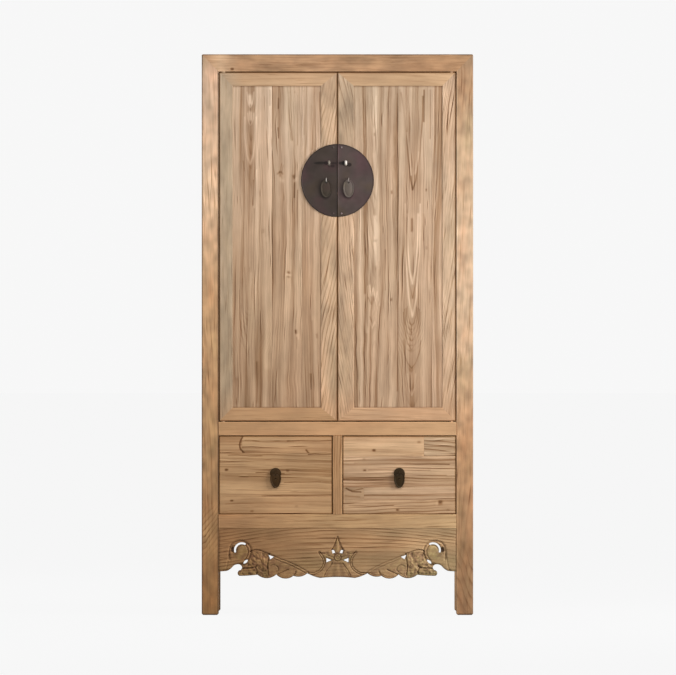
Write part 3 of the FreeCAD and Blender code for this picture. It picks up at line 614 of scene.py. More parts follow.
def iron(name, mean, seed, rim=None, rough=0.46, spots=()):
    """Dark waxed iron: a mottled patina with purple and brown clouds, fine pits, a darker rim, and painted
    shadows and highlights at given spots.
    """
    sheet = Sheet(name)
    place = sheet.place()
    mottle = sheet.noise(place, MOTTLE, seed)
    pits = sheet.noise(place, PITS, seed + 3)
    clouds = sheet.noise(place, CLOUDS, seed + 7, 1.0)
    colour = sheet.ramp(mottle, shares_of(tone(*mean), IRON_TONES))
    colour = sheet.tinted(clouds.above(0.50, 5), colour, PURPLE_CAST)
    colour = sheet.tinted(clouds.below(0.48, 5), colour, BROWN_CAST)
    at_x, _, at_z = sheet.node("SeparateXYZ", {}, {0: place}, None)
    for x, z, wide, tall, gain in spots:
        side, rise = (at_x - x) / wide, (at_z - z) / tall
        colour = sheet.scaled(colour, ((1 - side * side - rise * rise) * 2).clamped() * gain + 1)
    if rim:
        x, z, radius, reach = rim
        side, rise = at_x - x, at_z - z
        inside = radius - (side * side + rise * rise).math("SQRT")
        colour = sheet.scaled(colour, 1 - (1 - inside / reach).clamped() * RIM_DARK)
    bump = sheet.node("Bump", {}, {"Strength": 0.15, "Distance": 0.0012, "Height": mottle * 1.5 + pits * 0.3})
    shader = sheet.node("BsdfPrincipled", {}, {
        "Base Color": colour, "Roughness": rough + pits * 0.14, "Metallic": 0.15,
        "Specular IOR Level": 0.16, "Normal": bump})
    return sheet.finish(shader)


# Mesh helpers

def piece(name, work, body, material, nodes=()):
    """Makes an object of a bmesh, in place, riding on a body and standing for CAD nodes."""
    mesh = bpy.data.meshes.new(name)
    bmesh.ops.recalc_face_normals(work, faces=work.faces)
    work.to_mesh(mesh)
    work.free()
    return set_up(bpy.data.objects.new(name, mesh), body, material, nodes)


def set_up(made, body, material, nodes=()):
    """Links an object, gives it its material and ties it to the frame."""
    bpy.context.scene.collection.objects.link(made)
    made.data.materials.clear()
    made.data.materials.append(material)
    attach(made, body)
    if nodes:
        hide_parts(*nodes)
    return made


def rounded(made, degrees):
    """Shades a mesh smooth, with edges sharper than an angle kept crisp."""
    made.data.shade_smooth()
    made.data.set_sharp_from_angle(angle=math.radians(degrees))
    return made


def copy_of(frame, node):
    """A CAD node's mesh as a bmesh, with its loose triangles joined."""
    work = bmesh.new()
    work.from_mesh(frame["nodes"][node].data)
    bmesh.ops.remove_doubles(work, verts=work.verts, dist=1e-6)
    bmesh.ops.recalc_face_normals(work, faces=work.faces)
    return work


def bevelled(work, edges, reach):
    """Bevels some edges."""
    bmesh.ops.bevel(work, geom=edges, offset=reach, offset_type="OFFSET", segments=2,
                    profile=0.5, affect="EDGES", clamp_overlap=True, material=-1)
    return work


def block(low, high, ease):
    """A block between two corners with its edges eased."""
    work = bmesh.new()
    bmesh.ops.create_cube(work, size=1.0)
    size = Vector(high) - Vector(low)
    middle = (Vector(high) + Vector(low)) / 2
    bmesh.ops.scale(work, vec=size, verts=work.verts)
    bmesh.ops.translate(work, vec=middle, verts=work.verts)
    return bevelled(work, list(work.edges), ease)


def upright_disc(segments, radius):
    """A round face that looks to the front, about the origin."""
    work = bmesh.new()
    bmesh.ops.create_circle(work, cap_ends=True, segments=segments, radius=radius, matrix=UPRIGHT)
    return work


def stepped(work, face, insets):
    """Insets a face again and again, each time by a width and a depth."""
    bmesh.ops.recalc_face_normals(work, faces=work.faces)
    for width, depth in insets:
        bmesh.ops.inset_region(work, faces=face, thickness=width, depth=depth)
    return work


def boolean(work, form, operation):
    """A mesh of one closed form cut by another."""
    objects = []
    for name, shape in (("cut", work), ("form", form)):
        mesh = bpy.data.meshes.new(name)
        shape.to_mesh(mesh)
        shape.free()
        made = bpy.data.objects.new(name, mesh)
        bpy.context.scene.collection.objects.link(made)
        objects.append(made)
    cut = objects[0].modifiers.new("cut", "BOOLEAN")
    cut.operation = operation
    cut.solver = "MANIFOLD"
    cut.object = objects[1]
    graph = bpy.context.evaluated_depsgraph_get()
    result = bpy.data.meshes.new_from_object(objects[0].evaluated_get(graph))
    for made in objects:
        bpy.data.objects.remove(made)
    return result


def add(work, other):
    """Adds one bmesh to another."""
    mesh = bpy.data.meshes.new("part")
    other.to_mesh(mesh)
    other.free()
    work.from_mesh(mesh)
    bpy.data.meshes.remove(mesh)


def sawn(frame, name, nodes, *cut, **figure):
    """Gives CAD nodes the wood of one sawn board."""
    material = wood(name + "_wood", Board(*cut, **figure))
    for node in nodes:
        for held in frame["nodes"][node].material_slots:
            held.material = material


# Carcass

# Posts: mean colours, tints at some levels, darker at the feet and at the very top, and the slanting figure
# low down
POST_TONE = {"left": (219, 182, 147), "right": (203, 170, 136)}
POST_LEVEL_TINTS = {
    "left": (
        (0.04, (0.46, 0.35, 0.21)), (0.14, (0.52, 0.40, 0.25)), (0.60, (0.68, 0.57, 0.42)),
        (1.15, (0.87, 0.77, 0.63)), (1.60, (1.10, 1.11, 1.13)), (1.93, (0.93, 0.93, 0.98)),
        (1.98, (0.69, 0.68, 0.67))),
    "right": (
        (0.10, (0.54, 0.44, 0.345)), (0.25, (0.57, 0.47, 0.36)), (0.275, (0.67, 0.55, 0.44)),
        (0.60, (0.80, 0.66, 0.54)), (1.15, (1.02, 1.05, 1.10)), (1.65, (0.89, 0.88, 0.87)),
        (1.88, (0.62, 0.56, 0.50)), (1.98, (0.56, 0.53, 0.49))),
}
POST_FLAME = {"left": (0.285, 0.12, 0.9, 0.020), "right": (0.14, 0.15, -0.5, 0.026)}

# Edges: how far they reach, and the tint at the edge itself
# GAP_EDGE is painted shade: the wood darkens along the gaps round the doors, where shade falls into them
GAP_EDGE = (0.0050, (0.36, 0.20, 0.05))
# DRAWER_EDGE is painted shade along the gaps round the drawers
DRAWER_EDGE = (0.0040, (0.60, 0.44, 0.25))
# POST_EDGE: painted shade on the left post's inner edge by the door gap; a pale worn arris on the right post's
POST_EDGE = {"left": (0.0060, (0.16, 0.13, 0.09)), "right": (0.0070, (1.42, 1.50, 1.58))}
# OUTER_EDGE is painted shade along the outer edges of the front
OUTER_EDGE = (0.0050, (0.45, 0.42, 0.40))
# Paler arrises: wear, and painted highlight where the edges catch the light
WORN_AND_LIT_EDGE = (0.0060, (1.18, 1.18, 1.16))

# The top rail is paler near its left end
PALE_END = (0.065, (1.37, 1.57, 1.75))

# Boards inside come from far off the pith and are smooth
INSIDE = dict(below=0.2, relief=0.2)

# Front rails: mean colour, the tint that grows towards the right, the arrises made paler by wear and painted
# highlight, and the cut
TINT_REACH = 0.9
FRONT_RAILS = {
    "top_rail_front": ((184, 142, 106), (0.66, 0.65, 0.61), ("low",), dict(
        seed=31, pith=1.93, slope=0.035, ring=0.008, late=0.26, fine=0.45, patchy=0.6,
        blotch=(30.0, 14.0, 2.0), knots=((1.947, -0.376, 0.006),))),
    "mid_rail_front": ((193, 148, 105), (1.13, 1.20, 1.30), ("high", "low"), dict(
        seed=37, pith=0.60, below=0.10, slope=0.02, ring=0.013, late=0.14, fine=0.22)),
    "bottom_rail_front": ((179, 133, 91), (1.16, 1.42, 1.60), ("high",), dict(
        seed=41, pith=0.42, below=0.06, slope=0.03, ring=0.011, late=0.22, fine=0.35, patchy=0.4)),
}


def dress_posts(frame):
    """The four posts: pale and patchy above, browner towards the feet."""
    for side, sign in SIDES:
        front, rear = "front_post_" + side, "rear_post_" + side
        low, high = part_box(front)
        inner, outer = (high.x, low.x) if sign < 0 else (low.x, high.x)
        # Painted shade at the left post's inner edge and along the outer edges; a pale worn arris at the right
        # post's inner edge
        edges = [("x", inner, *POST_EDGE[side]), ("x", outer, *OUTER_EDGE), ("z", high.z, *OUTER_EDGE)]
        sawn(frame, "post_" + side, [front], "zxy", POST_TONE[side], 3 + sign, pith=outer + sign * 0.02,
             below=0.03, slope=0.05, lean=sign * 0.02, ring=0.012, late=0.20, streak=0.08, fine=0.45,
             patchy=0.48, rosy=1.1, blotch=(36.0, 22.0, 0.8), relief=0.3, hidden=0.9,
             flame=POST_FLAME[side], edges=edges, ages=POST_LEVEL_TINTS[side])
        sawn(frame, rear, [rear], "zxy", (178, 138, 100), 21 + sign, face=BACK_Y, pith=outer, slope=0.03,
             ring=0.012, late=0.3, streak=0.24, patchy=0.4)


def dress_rails(frame):
    """The rails of the frame, grain lengthwise, with arrises made paler by wear and painted highlight, and the
    post between the drawers.
    """
    for node, (mean, rightward, worn_and_lit, cut) in FRONT_RAILS.items():
        low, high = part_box(node)
        edges = [("x", high.x, TINT_REACH, rightward)]
        if node == "top_rail_front":
            edges += [("z", high.z, *OUTER_EDGE), ("x", low.x + PALE_END[0], *PALE_END)]
        edges += [("z", high.z if end == "high" else low.z, *WORN_AND_LIT_EDGE) for end in worn_and_lit]
        sawn(frame, node, [node], "xzy", mean, edges=edges, **cut)
    post = "drawer_divider_post"
    sawn(frame, "divider", [post], "zxy", (174, 132, 92), 43, pith=0.05, below=0.02, slope=0.02, ring=0.008,
         late=0.6, fine=0.6, edges=[("x", corner.x, *WORN_AND_LIT_EDGE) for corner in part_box(post)])
    plain = dict(pith=0.1, below=0.08, ring=0.010)
    for level, seed in (("top", 51), ("mid", 53), ("bottom", 57)):
        sides, back = [level + "_rail_left", level + "_rail_right"], [level + "_rail_back"]
        sawn(frame, level + "_side_rail", sides, "yzx", (180, 140, 103), seed, face=SIDE_X, **plain)
        sawn(frame, level + "_back_rail", back, "xzy", (176, 137, 100), seed + 1, face=BACK_Y, **plain)


def dress_boards(frame):
    """The panels of the sides, back and top, and the boards inside."""
    for side, sign in SIDES:
        face = sign * SIDE_PANEL_X
        sawn(frame, side + "_panel", [side + "_side_panels"], "zyx", (182, 146, 112), 61 + face, face=face,
             pith=0.02, slope=-0.03, ring=0.012)
    wide = dict(below=0.06, slope=0.03, ring=0.014)
    sawn(frame, "back_panel", ["back_panels"], "zxy", (176, 140, 105), 67, face=BACK_PANEL_Y, pith=0.1,
         **wide)
    sawn(frame, "top_panel", ["top_panel"], "xyz", (178, 140, 104), 71, face=TOP_PANEL_Z, pith=0.05, **wide)
    sawn(frame, "shelf", ["compartment_floor", "shelves"], "xyz", (186, 152, 116), 73, face=1.1, pith=-0.02,
         slope=0.03, ring=0.013, **INSIDE)
    sawn(frame, "bearer", ["shelf_battens", "drawer_runners"], "yzx", (176, 140, 104), 79, face=0.45,
         pith=0.3, ring=0.010, **INSIDE)


# Doors

# Panels: half a seam, where the seams lie, strength of the broad bands, and tints at some levels, darker lower
# down
SEAM = 0.0002
BOARD_SEAMS = {"left": (-0.2335, -0.1270), "right": (0.2160, 0.3370)}
DOOR_BANDS = 0.145
DOOR_LEVEL_TINTS = {
    "left": ((0.70, (0.81, 0.74, 0.67)), (1.20, (0.885, 0.845, 0.79)), (1.70, (1.015, 1.035, 1.065))),
    "right": ((0.70, (0.95, 0.90, 0.85)), (1.20, (0.98, 0.97, 0.95)), (1.70, (0.97, 1.0, 1.02))),
}

# Painted shade along the panels' edges, where they sit back in the doors' frames
PANEL_TOP_EDGE = (0.007, (0.62, 0.56, 0.50))
PANEL_FOOT_EDGE = (0.005, (0.74, 0.70, 0.66))
PANEL_LEFT_EDGE = (0.006, (0.93, 0.90, 0.87))
PANEL_RIGHT_EDGE = (0.006, (0.95, 0.93, 0.91))

# Stiles: what those at the hinges and those that meet share, then each one's colour, cut and tints
STILE_FOOT = ((0.72, (0.98, 0.86, 0.76)), (0.82, (0.95, 0.92, 0.88)), (1.20, (0.97, 0.96, 0.94)))
HINGE = dict(slope=0.02, ring=0.009, rosy=0.4, patchy=0.56)
MEETING = dict(start=1.2, sway=0.04, ring=0.0105, patchy=0.78)
STILES = {
    "left_hinge": dict(
        HINGE, mean=(186, 161, 133), seed=82, late=0.12, fine=0.3,
        ages=STILE_FOOT + ((1.70, (1.02, 1.03, 1.03)),)),
    "right_hinge": dict(
        HINGE, mean=(198, 167, 137), seed=84, late=0.34, fine=0.8, lean=0.14, start=1.2,
        ages=STILE_FOOT + ((1.58, (1.0, 1.0, 1.0)), (1.74, (0.87, 0.84, 0.82)))),
    "left_meeting": dict(
        MEETING, mean=(196, 163, 131), seed=88, pith=-0.10, slope=-0.05, late=0.50, fine=0.5, lean=0.154,
        ages=STILE_FOOT + ((1.70, (0.99, 0.99, 0.99)),)),
    "right_meeting": dict(
        MEETING, mean=(199, 166, 135), seed=90, pith=0.10, slope=0.05, late=0.46, fine=0.8, lean=-0.18,
        ages=STILE_FOOT + ((1.60, (0.98, 0.97, 0.96)), (1.71, (0.72, 0.74, 0.74)))),
}

# Rails: seeds and mean colours, and the tint of the left door's top rail towards the hinge
DOOR_RAILS = {
    "top": (97, {"left": (198, 161, 124), "right": (187, 152, 116)}),
    "bottom": (101, {"left": (191, 148, 107), "right": (203, 161, 123)}),
}
GREY_END = (0.085, (0.86, 0.99, 1.15))


def dress_doors(frame):
    """Frames, panels of upright boards, and the battens behind them."""
    for side, sign in SIDES:
        dress_stiles(frame, side, sign)
        dress_door_rails(frame, side, sign)
        door_boards(side)
        sawn(frame, side + "_door_batten", [side + "_door_battens"], "xzy", (176, 140, 106), 131 + sign,
             face=-0.225, pith=1.3, ring=0.011, **INSIDE)


def dress_stiles(frame, side, sign):
    """Stiles of one door, with painted shade along the gaps; those at the hinges have their pith there too."""
    for kind in ("hinge", "meeting"):
        name = "%s_%s" % (side, kind)
        node = "%s_door_%s_stile" % (side, kind)
        low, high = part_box(node)
        gap = low.x if (kind == "hinge") == (sign < 0) else high.x
        cut = {"pith": gap, **STILES[name]}
        sawn(frame, name + "_stile", [node], "zxy", below=0.02, edges=[("x", gap, *GAP_EDGE)], **cut)


def dress_door_rails(frame, side, sign):
    """Rails of one door, with painted shade along the gaps; the left door's top rail greys towards the hinge.
    """
    for level, (seed, means) in DOOR_RAILS.items():
        node = "%s_door_%s_rail" % (side, level)
        low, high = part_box(node)
        edges = [("z", high.z if level == "top" else low.z, *GAP_EDGE)]
        if node == "left_door_top_rail":
            edges.append(("x", low.x, *GREY_END))
        sawn(frame, node, [node], "xzy", means[side], seed + sign, pith=low.z - 0.02, below=0.04,
             slope=0.05 * sign, ring=0.012, late=0.16, fine=0.25, edges=edges)


def bow(dark, width, middle, half, apex, end):
    """A year line that runs down one side of a board's heart, turns and goes back up the other."""
    arm = [(half * out, apex + (end - apex) * up) for out, up in ((1.0, 1.0), (0.85, 0.55), (0.45, 0.18))]
    path = [(middle - out, level) for out, level in arm] + [(middle, apex)]
    return (dark, width, *path, *((middle + out, level) for out, level in reversed(arm)))


def marks(*rows):
    """Marks on a board, from rows of darkness, below 0 for paler, and then millimetres: width and path."""
    return [([(across * MM, along * MM) for across, along in path], width * MM, dark)
            for dark, width, *path in rows]


# The figure that shows on the boards of the doors, in millimetres across and up
LEFT_HEART = marks(
    bow(-0.30, 2.2, -311, 13, 1810, 1865), bow(-0.30, 2.2, -310, 12, 1746, 1790),
    (-0.60, 7.0, (-313, 1850), (-311, 1826)), (-0.50, 6.0, (-311, 1792), (-310, 1768)),
    bow(-0.24, 3.4, -311, 22, 1608, 1775), bow(0.30, 1.5, -322, 28, 925, 1160),
    bow(-0.22, 2.2, -322, 23, 950, 1180), bow(0.30, 1.5, -322, 18, 977, 1200),
    bow(-0.22, 2.0, -322, 13, 1003, 1220), bow(0.28, 1.4, -322, 8, 1034, 1240),
    (0.50, 1.6, (-335, 1619), (-330, 1584)), (-0.30, 1.8, (-290, 1587), (-297, 1516), (-297, 1452)),
    (0.45, 1.4, (-301, 1552), (-301, 1462)), (0.35, 3.0, (-241, 1872), (-241, 1819)),
    (0.70, 5.0, (-264, 1373), (-264, 1366)), (-0.25, 6.0, (-253, 1343), (-253, 1339)),
    (0.22, 9.0, (-358, 840), (-356, 760)), (0.20, 5.0, (-289, 900), (-287, 760)),
    (0.26, 9.0, (-247, 870), (-245, 750)), (0.12, 45.0, (-318, 1010), (-318, 740)),
)
LEFT_MIDDLE = marks(
    (0.65, 3.2, (-211, 1574), (-204, 1580), (-198, 1580), (-194, 1574)),
    (0.70, 3.2, (-203, 1580), (-202, 1566)), (0.45, 1.8, (-197, 1610), (-203, 1582)),
    (0.40, 1.8, (-192, 1604), (-197, 1578)), (-0.50, 6.5, (-200, 1552), (-196, 1549)),
    (0.80, 4.2, (-158, 1566), (-156, 1558)), (-0.45, 5.5, (-151, 1557), (-151, 1551)),
    (0.60, 2.4, (-155, 1541), (-154, 1490)), (0.50, 3.0, (-155, 1866), (-154, 1864)),
    (-0.25, 6.0, (-173, 1856), (-172, 1850)), (0.40, 2.8, (-173, 1865), (-171, 1773), (-162, 1694)),
    (0.40, 1.4, (-144, 1855), (-145, 1676)), (-0.25, 1.6, (-149, 1850), (-150, 1680)),
    (0.40, 2.4, (-210, 1844), (-210, 1808)), (0.40, 2.2, (-212, 1737), (-211, 1701)),
    (0.50, 1.8, (-143, 1516), (-142, 1302)), (0.85, 4.6, (-172, 1222), (-170, 1220)),
    (0.70, 3.6, (-174, 1207), (-170, 1206)), (-0.35, 4.0, (-178, 1214), (-164, 1212)),
    (0.85, 4.2, (-148, 1014), (-147, 1006)), (0.60, 2.4, (-145, 990), (-145, 950)),
    (-0.25, 4.0, (-140, 1002), (-139, 985)),
)
LEFT_LAST = marks(
    (0.40, 1.4, (-119, 1872), (-119, 1712)), (0.30, 1.4, (-91, 1819), (-91, 1658)),
    (0.50, 2.0, (-63, 1865), (-63, 1676)), (-0.25, 4.0, (-96, 1175), (-92, 1055)),
    (0.35, 1.5, (-99, 860), (-97, 805), (-94, 860)), (0.50, 4.0, (-76, 1000), (-75, 990)),
)
RIGHT_FIRST = marks(
    (-0.28, 2.2, (137, 1850), (139, 1735)), (0.50, 3.2, (131, 1717), (131, 1711)),
    bow(-0.30, 2.2, 134, 8, 1452, 1590), (-0.62, 6.5, (134, 1420), (135, 1345)),
    (-0.62, 6.0, (133, 1325), (134, 1250)), (0.35, 4.0, (134, 1235), (134, 1230)),
    bow(-0.30, 1.8, 134, 10, 1195, 1155), bow(-0.30, 2.2, 134, 13, 1123, 1040),
    (-0.20, 6.0, (134, 1115), (136, 1080)), (-0.25, 4.2, (95, 1141), (91, 1088), (96, 1045), (102, 1009)),
    (0.40, 1.6, (105, 1337), (105, 1177)), (0.45, 1.4, (114, 1259), (115, 1159)),
    (0.35, 1.4, (146, 1259), (147, 1209)), (0.35, 1.6, (170, 1302), (170, 1159)),
    (-0.55, 3.4, (112, 1175), (119, 1140), (126, 1166), (134, 1122), (142, 1152), (149, 1105)),
    (0.45, 2.2, (108, 1132), (118, 1108), (126, 1136), (136, 1090), (147, 1118)),
    (0.40, 2.0, (112, 1064), (122, 1040), (130, 1062), (141, 1036)),
    (-0.40, 2.6, (110, 1050), (121, 1024), (131, 1046)), (0.60, 3.0, (194, 1512), (194, 1504)),
    (0.50, 3.0, (191, 1128), (191, 1122)), (0.45, 2.2, (214, 1860), (214, 800)),
    (-0.06, 45.0, (140, 1360), (140, 1210)), (0.06, 45.0, (140, 1000), (140, 760)),
)
RIGHT_HEART = marks(
    (0.40, 3.0, (228, 1862), (240, 1765), (251, 1660), (262, 1550), (268, 1518)),
    (0.34, 2.6, (305, 1850), (304, 1765), (295, 1660), (280, 1550), (269, 1518)),
    (-0.30, 3.2, (247, 1720), (258, 1620), (264, 1570)), (-0.30, 3.2, (289, 1650), (278, 1575)),
    (0.35, 6.0, (222, 1872), (223, 1800)), (0.45, 2.6, (309, 1872), (309, 1760)),
    (0.35, 2.4, (331, 1872), (331, 1700)), (0.07, 45.0, (276, 1860), (276, 1560)),
    (-0.14, 45.0, (276, 1400), (276, 1190)), bow(-0.46, 3.2, 267, 19, 1181, 1430),
    bow(-0.44, 3.0, 267, 27, 1063, 1465), bow(0.25, 1.4, 267, 22, 1130, 1420),
    bow(0.28, 1.4, 266, 14, 1030, 1100), bow(0.28, 1.4, 266, 19, 1005, 1095),
    bow(0.28, 1.4, 266, 24, 975, 1090), bow(0.28, 1.4, 266, 29, 945, 1080),
    bow(0.25, 1.6, 266, 30, 880, 980), bow(-0.20, 2.2, 266, 14, 783, 860),
    (-0.20, 4.5, (267, 1123), (267, 1070)), (0.45, 3.6, (264, 1412), (264, 1370)),
    (0.45, 3.5, (318, 1312), (318, 1306)), (0.40, 3.0, (317, 1518), (317, 1514)),
    (0.20, 5.0, (307, 1427), (307, 1338)),
)
RIGHT_LAST = marks((0.12, 40.0, (360, 960), (360, 740)))

# Boards of each door's panel, from left to right
DOOR_BOARDS = {
    "left": (
        dict(mean=(195, 163, 133), seed=103, pith=-0.312, sharp=2.4, ring=0.011, late=0.16, marks=LEFT_HEART,
             heart=((0.74, 0.20), (0.93, 0.19), (1.09, 0.10), (1.55, 0.07), (1.88, 0.0))),
        dict(mean=(196, 164, 134), seed=107, pith=-0.060, below=0.03, start=1.30, slope=0.012, ring=0.0095,
             late=0.22, marks=LEFT_MIDDLE),
        dict(mean=(198, 166, 136), seed=109, pith=-0.160, below=0.02, start=1.10, slope=-0.02, ring=0.0090,
             late=0.22, marks=LEFT_LAST),
    ),
    "right": (
        dict(mean=(187, 156, 127), seed=113, pith=0.134, sharp=2.2, ring=0.012, late=0.26, marks=RIGHT_FIRST,
             heart=((0.74, 0.02), (1.00, 0.07), (1.20, 0.11), (1.45, 0.07), (1.88, 0.0))),
        dict(mean=(190, 158, 129), seed=127, pith=0.266, sharp=2.4, ring=0.012, late=0.24, marks=RIGHT_HEART,
             heart=((0.74, 0.165), (0.94, 0.128), (1.05, 0.056), (1.35, 0.028), (1.88, 0.0))),
        dict(mean=(197, 164, 135), seed=139, pith=0.420, below=0.02, start=1.2, slope=0.02, ring=0.0100,
             late=0.22, rosy=0.2, marks=RIGHT_LAST),
    ),
}


def door_boards(side):
    """A door's panel as upright boards side by side."""
    low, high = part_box(side + "_door_panel")
    first, last = ("hinge", "meeting") if side == "left" else ("meeting", "hinge")
    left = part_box("%s_door_%s_stile" % (side, first))[1].x
    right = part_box("%s_door_%s_stile" % (side, last))[0].x
    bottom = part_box(side + "_door_bottom_rail")[1].z
    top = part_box(side + "_door_top_rail")[0].z
    shared = dict(bands=DOOR_BANDS, ages=DOOR_LEVEL_TINTS[side], edges=(
        ("z", top, *PANEL_TOP_EDGE), ("z", bottom, *PANEL_FOOT_EDGE),
        ("x", left, *PANEL_LEFT_EDGE), ("x", right, *PANEL_RIGHT_EDGE)))
    seams = (left,) + BOARD_SEAMS[side] + (right,)
    for count, (x0, x1, cut) in enumerate(zip(seams, seams[1:], DOOR_BOARDS[side]), 1):
        nodes = (side + "_door_panel",) if count == 1 else ()
        brushed_board("%s_door_board_%d" % (side, count), (x0 + SEAM, low.y, bottom + SEAM),
                      (x1 - SEAM, high.y, top - SEAM), Board("zxy", **cut, **shared), side + "_door",
                      nodes)


# Drawers

def dress_drawers(frame):
    """Drawer faces of several boards, and plain boxes behind."""
    for side, sign in SIDES:
        drawer_boards(side)
        wall, back, bottom = (side + "_drawer" + part for part in ("_wall", "_back", "_bottom"))
        sawn(frame, wall, [side + "_drawer_sides"], "yzx", (184, 150, 112), 151 + sign, face=sign * 0.4,
             pith=0.3, ring=0.012, **INSIDE)
        sawn(frame, back, [back], "xzy", (182, 148, 110), 157 + sign, face=0.17, pith=0.3, ring=0.012,
             **INSIDE)
        sawn(frame, bottom, [bottom], "xyz", (186, 152, 114), 163 + sign, face=0.38, ring=0.014, **INSIDE)


def grain_line(level, start, end, fall=0.0, dark=0.45, width=0.0014):
    """A dark line along the grain: a crack or a board's edge, wandering a little."""
    shares = (0.0, 0.3, 0.65, 1.0)
    wander = (0.0, 0.0015, -0.0010, 0.0006)
    path = [(level + rise - fall * share, start + (end - start) * share)
            for share, rise in zip(shares, wander)]
    return path, width, dark


def dot(level, along, dark=0.75, width=0.0036):
    """A small dark knot."""
    return [(level, along - 0.002), (level, along + 0.002)], width, dark


# Marks on the drawers' boards: paths of level and place along, then width and darkness
JOINT = ([(0.637, -0.337), (0.624, -0.345), (0.608, -0.349), (0.592, -0.346), (0.580, -0.335)], 0.0024, 0.85)
LEFT_UPPER = (
    JOINT, grain_line(0.6240, -0.330, -0.170, 0.002, 0.30), grain_line(0.6210, -0.180, -0.022, 0.0, 0.70),
    ([(0.5900, -0.1115), (0.5790, -0.1030)], 0.0030, 1.0))
LEFT_WIDE = (
    grain_line(0.5420, -0.420, -0.260), grain_line(0.5100, -0.290, -0.190, 0.004, 0.6),
    grain_line(0.4960, -0.400, -0.030, 0.004), grain_line(0.4740, -0.190, -0.060, 0.0, 0.6),
    grain_line(0.4260, -0.270, -0.022, 0.0, 0.65), grain_line(0.5735, -0.105, -0.022, 0.0, 0.8),
    grain_line(0.5690, -0.390, -0.270, 0.0, 0.5), dot(0.519, -0.396), dot(0.516, -0.178))
LEFT_LOW = (
    dot(0.389, -0.146), dot(0.407, -0.377, 0.6), dot(0.371, -0.305, 0.5),
    grain_line(0.3950, -0.400, -0.200, 0.0, 0.3))
RIGHT_UPPER = (
    dot(0.617, 0.291, 0.7, 0.005), dot(0.588, 0.130, 0.8, 0.004),
    grain_line(0.5900, 0.030, 0.300, 0.0, 0.25), grain_line(0.5700, 0.040, 0.300, 0.0, 0.40))
RIGHT_WIDE = (
    grain_line(0.5600, 0.030, 0.300), grain_line(0.5420, 0.060, 0.400, 0.004, 0.6),
    grain_line(0.5170, 0.110, 0.330, 0.0, 0.6), grain_line(0.4990, 0.040, 0.390),
    dot(0.5585, 0.095, 0.7), dot(0.516, 0.097))
RIGHT_PATCH = (
    ([(0.4530, 0.0305), (0.4400, 0.0519), (0.4380, 0.0840)], 0.0022, 0.55),
    ([(0.4460, 0.0400), (0.4445, 0.0600), (0.4500, 0.0900)], 0.0016, 0.40),
    ([(0.4246, 0.0270), (0.4210, 0.0800)], 0.0022, 0.45))
RIGHT_LOW = (
    dot(0.401, 0.366, 0.85, 0.0065), ([(0.395, 0.355), (0.404, 0.357)], 0.004, -0.3),
    dot(0.373, 0.214, 0.6), dot(0.377, 0.395, 0.4), grain_line(0.3900, 0.040, 0.200, 0.0, 0.5))

# Boards of each drawer's face: left, right, bottom and top, None at the face's own edge, and the cut
DRAWER_FACES = {
    "left": (
        (None, -0.3405, 0.5780, None, dict(
            mean=(187, 146, 105), seed=167, pith=0.50, ring=0.024, late=0.16, marks=(JOINT,))),
        (-0.3405, None, 0.5780, None, dict(
            mean=(189, 148, 107), seed=173, pith=0.70, below=0.03, ring=0.017, late=0.22, slope=0.02,
            marks=LEFT_UPPER)),
        (None, None, 0.4225, 0.5780, dict(
            mean=(184, 144, 103), seed=179, pith=0.30, ring=0.0125, late=0.34, slope=0.05, streak=0.22,
            marks=LEFT_WIDE)),
        (None, None, None, 0.4225, dict(
            mean=(183, 142, 101), seed=181, pith=0.44, below=0.03, ring=0.013, late=0.28, slope=0.04,
            marks=LEFT_LOW)),
    ),
    "right": (
        (None, 0.3085, 0.5670, None, dict(
            mean=(199, 160, 121), seed=191, pith=0.70, ring=0.018, late=0.16, hairs=150, marks=RIGHT_UPPER)),
        (0.3085, None, 0.5670, None, dict(
            mean=(184, 151, 117), seed=193, pith=0.56, below=0.02, ring=0.0080, late=0.70, slope=0.08,
            streak=0.28, hairs=900)),
        (None, None, 0.4560, 0.5670, dict(
            mean=(190, 153, 118), seed=199, pith=0.40, below=0.03, ring=0.0115, late=0.55, slope=0.03,
            streak=0.26, marks=RIGHT_WIDE)),
        (None, 0.0947, 0.4100, 0.4560, dict(
            mean=(186, 151, 116), seed=211, pith=0.450, below=0.01, ring=0.0085, late=0.4, slope=0.2,
            marks=RIGHT_PATCH)),
        (0.0947, None, 0.4100, 0.4560, dict(
            mean=(203, 167, 132), seed=223, pith=0.30, ring=0.022, late=0.18, hairs=200)),
        (None, None, None, 0.4100, dict(
            mean=(192, 155, 118), seed=227, pith=0.42, below=0.03, ring=0.012, late=0.45, slope=0.04,
            streak=0.28, marks=RIGHT_LOW)),
    ),
}


def drawer_boards(side):
    """A drawer's face made up of boards."""
    low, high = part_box(side + "_drawer_front")
    # Painted shade along the gaps round the drawer's face
    edges = [("x", at, *DRAWER_EDGE) for at in (low.x, high.x)]
    edges += [("z", at, *DRAWER_EDGE) for at in (low.z, high.z)]
    for count, (x0, x1, z0, z1, cut) in enumerate(DRAWER_FACES[side], 1):
        corner = (low.x if x0 is None else x0, low.y, low.z if z0 is None else z0)
        far = (high.x if x1 is None else x1, high.y, high.z if z1 is None else z1)
        nodes = (side + "_drawer_front",) if count == 1 else ()
        brushed_board("%s_drawer_board_%d" % (side, count), corner, far, Board("xzy", edges=edges, **cut),
                      side + "_drawer", nodes)


# Carved apron, in millimetres: distance from the middle, drop below the rail

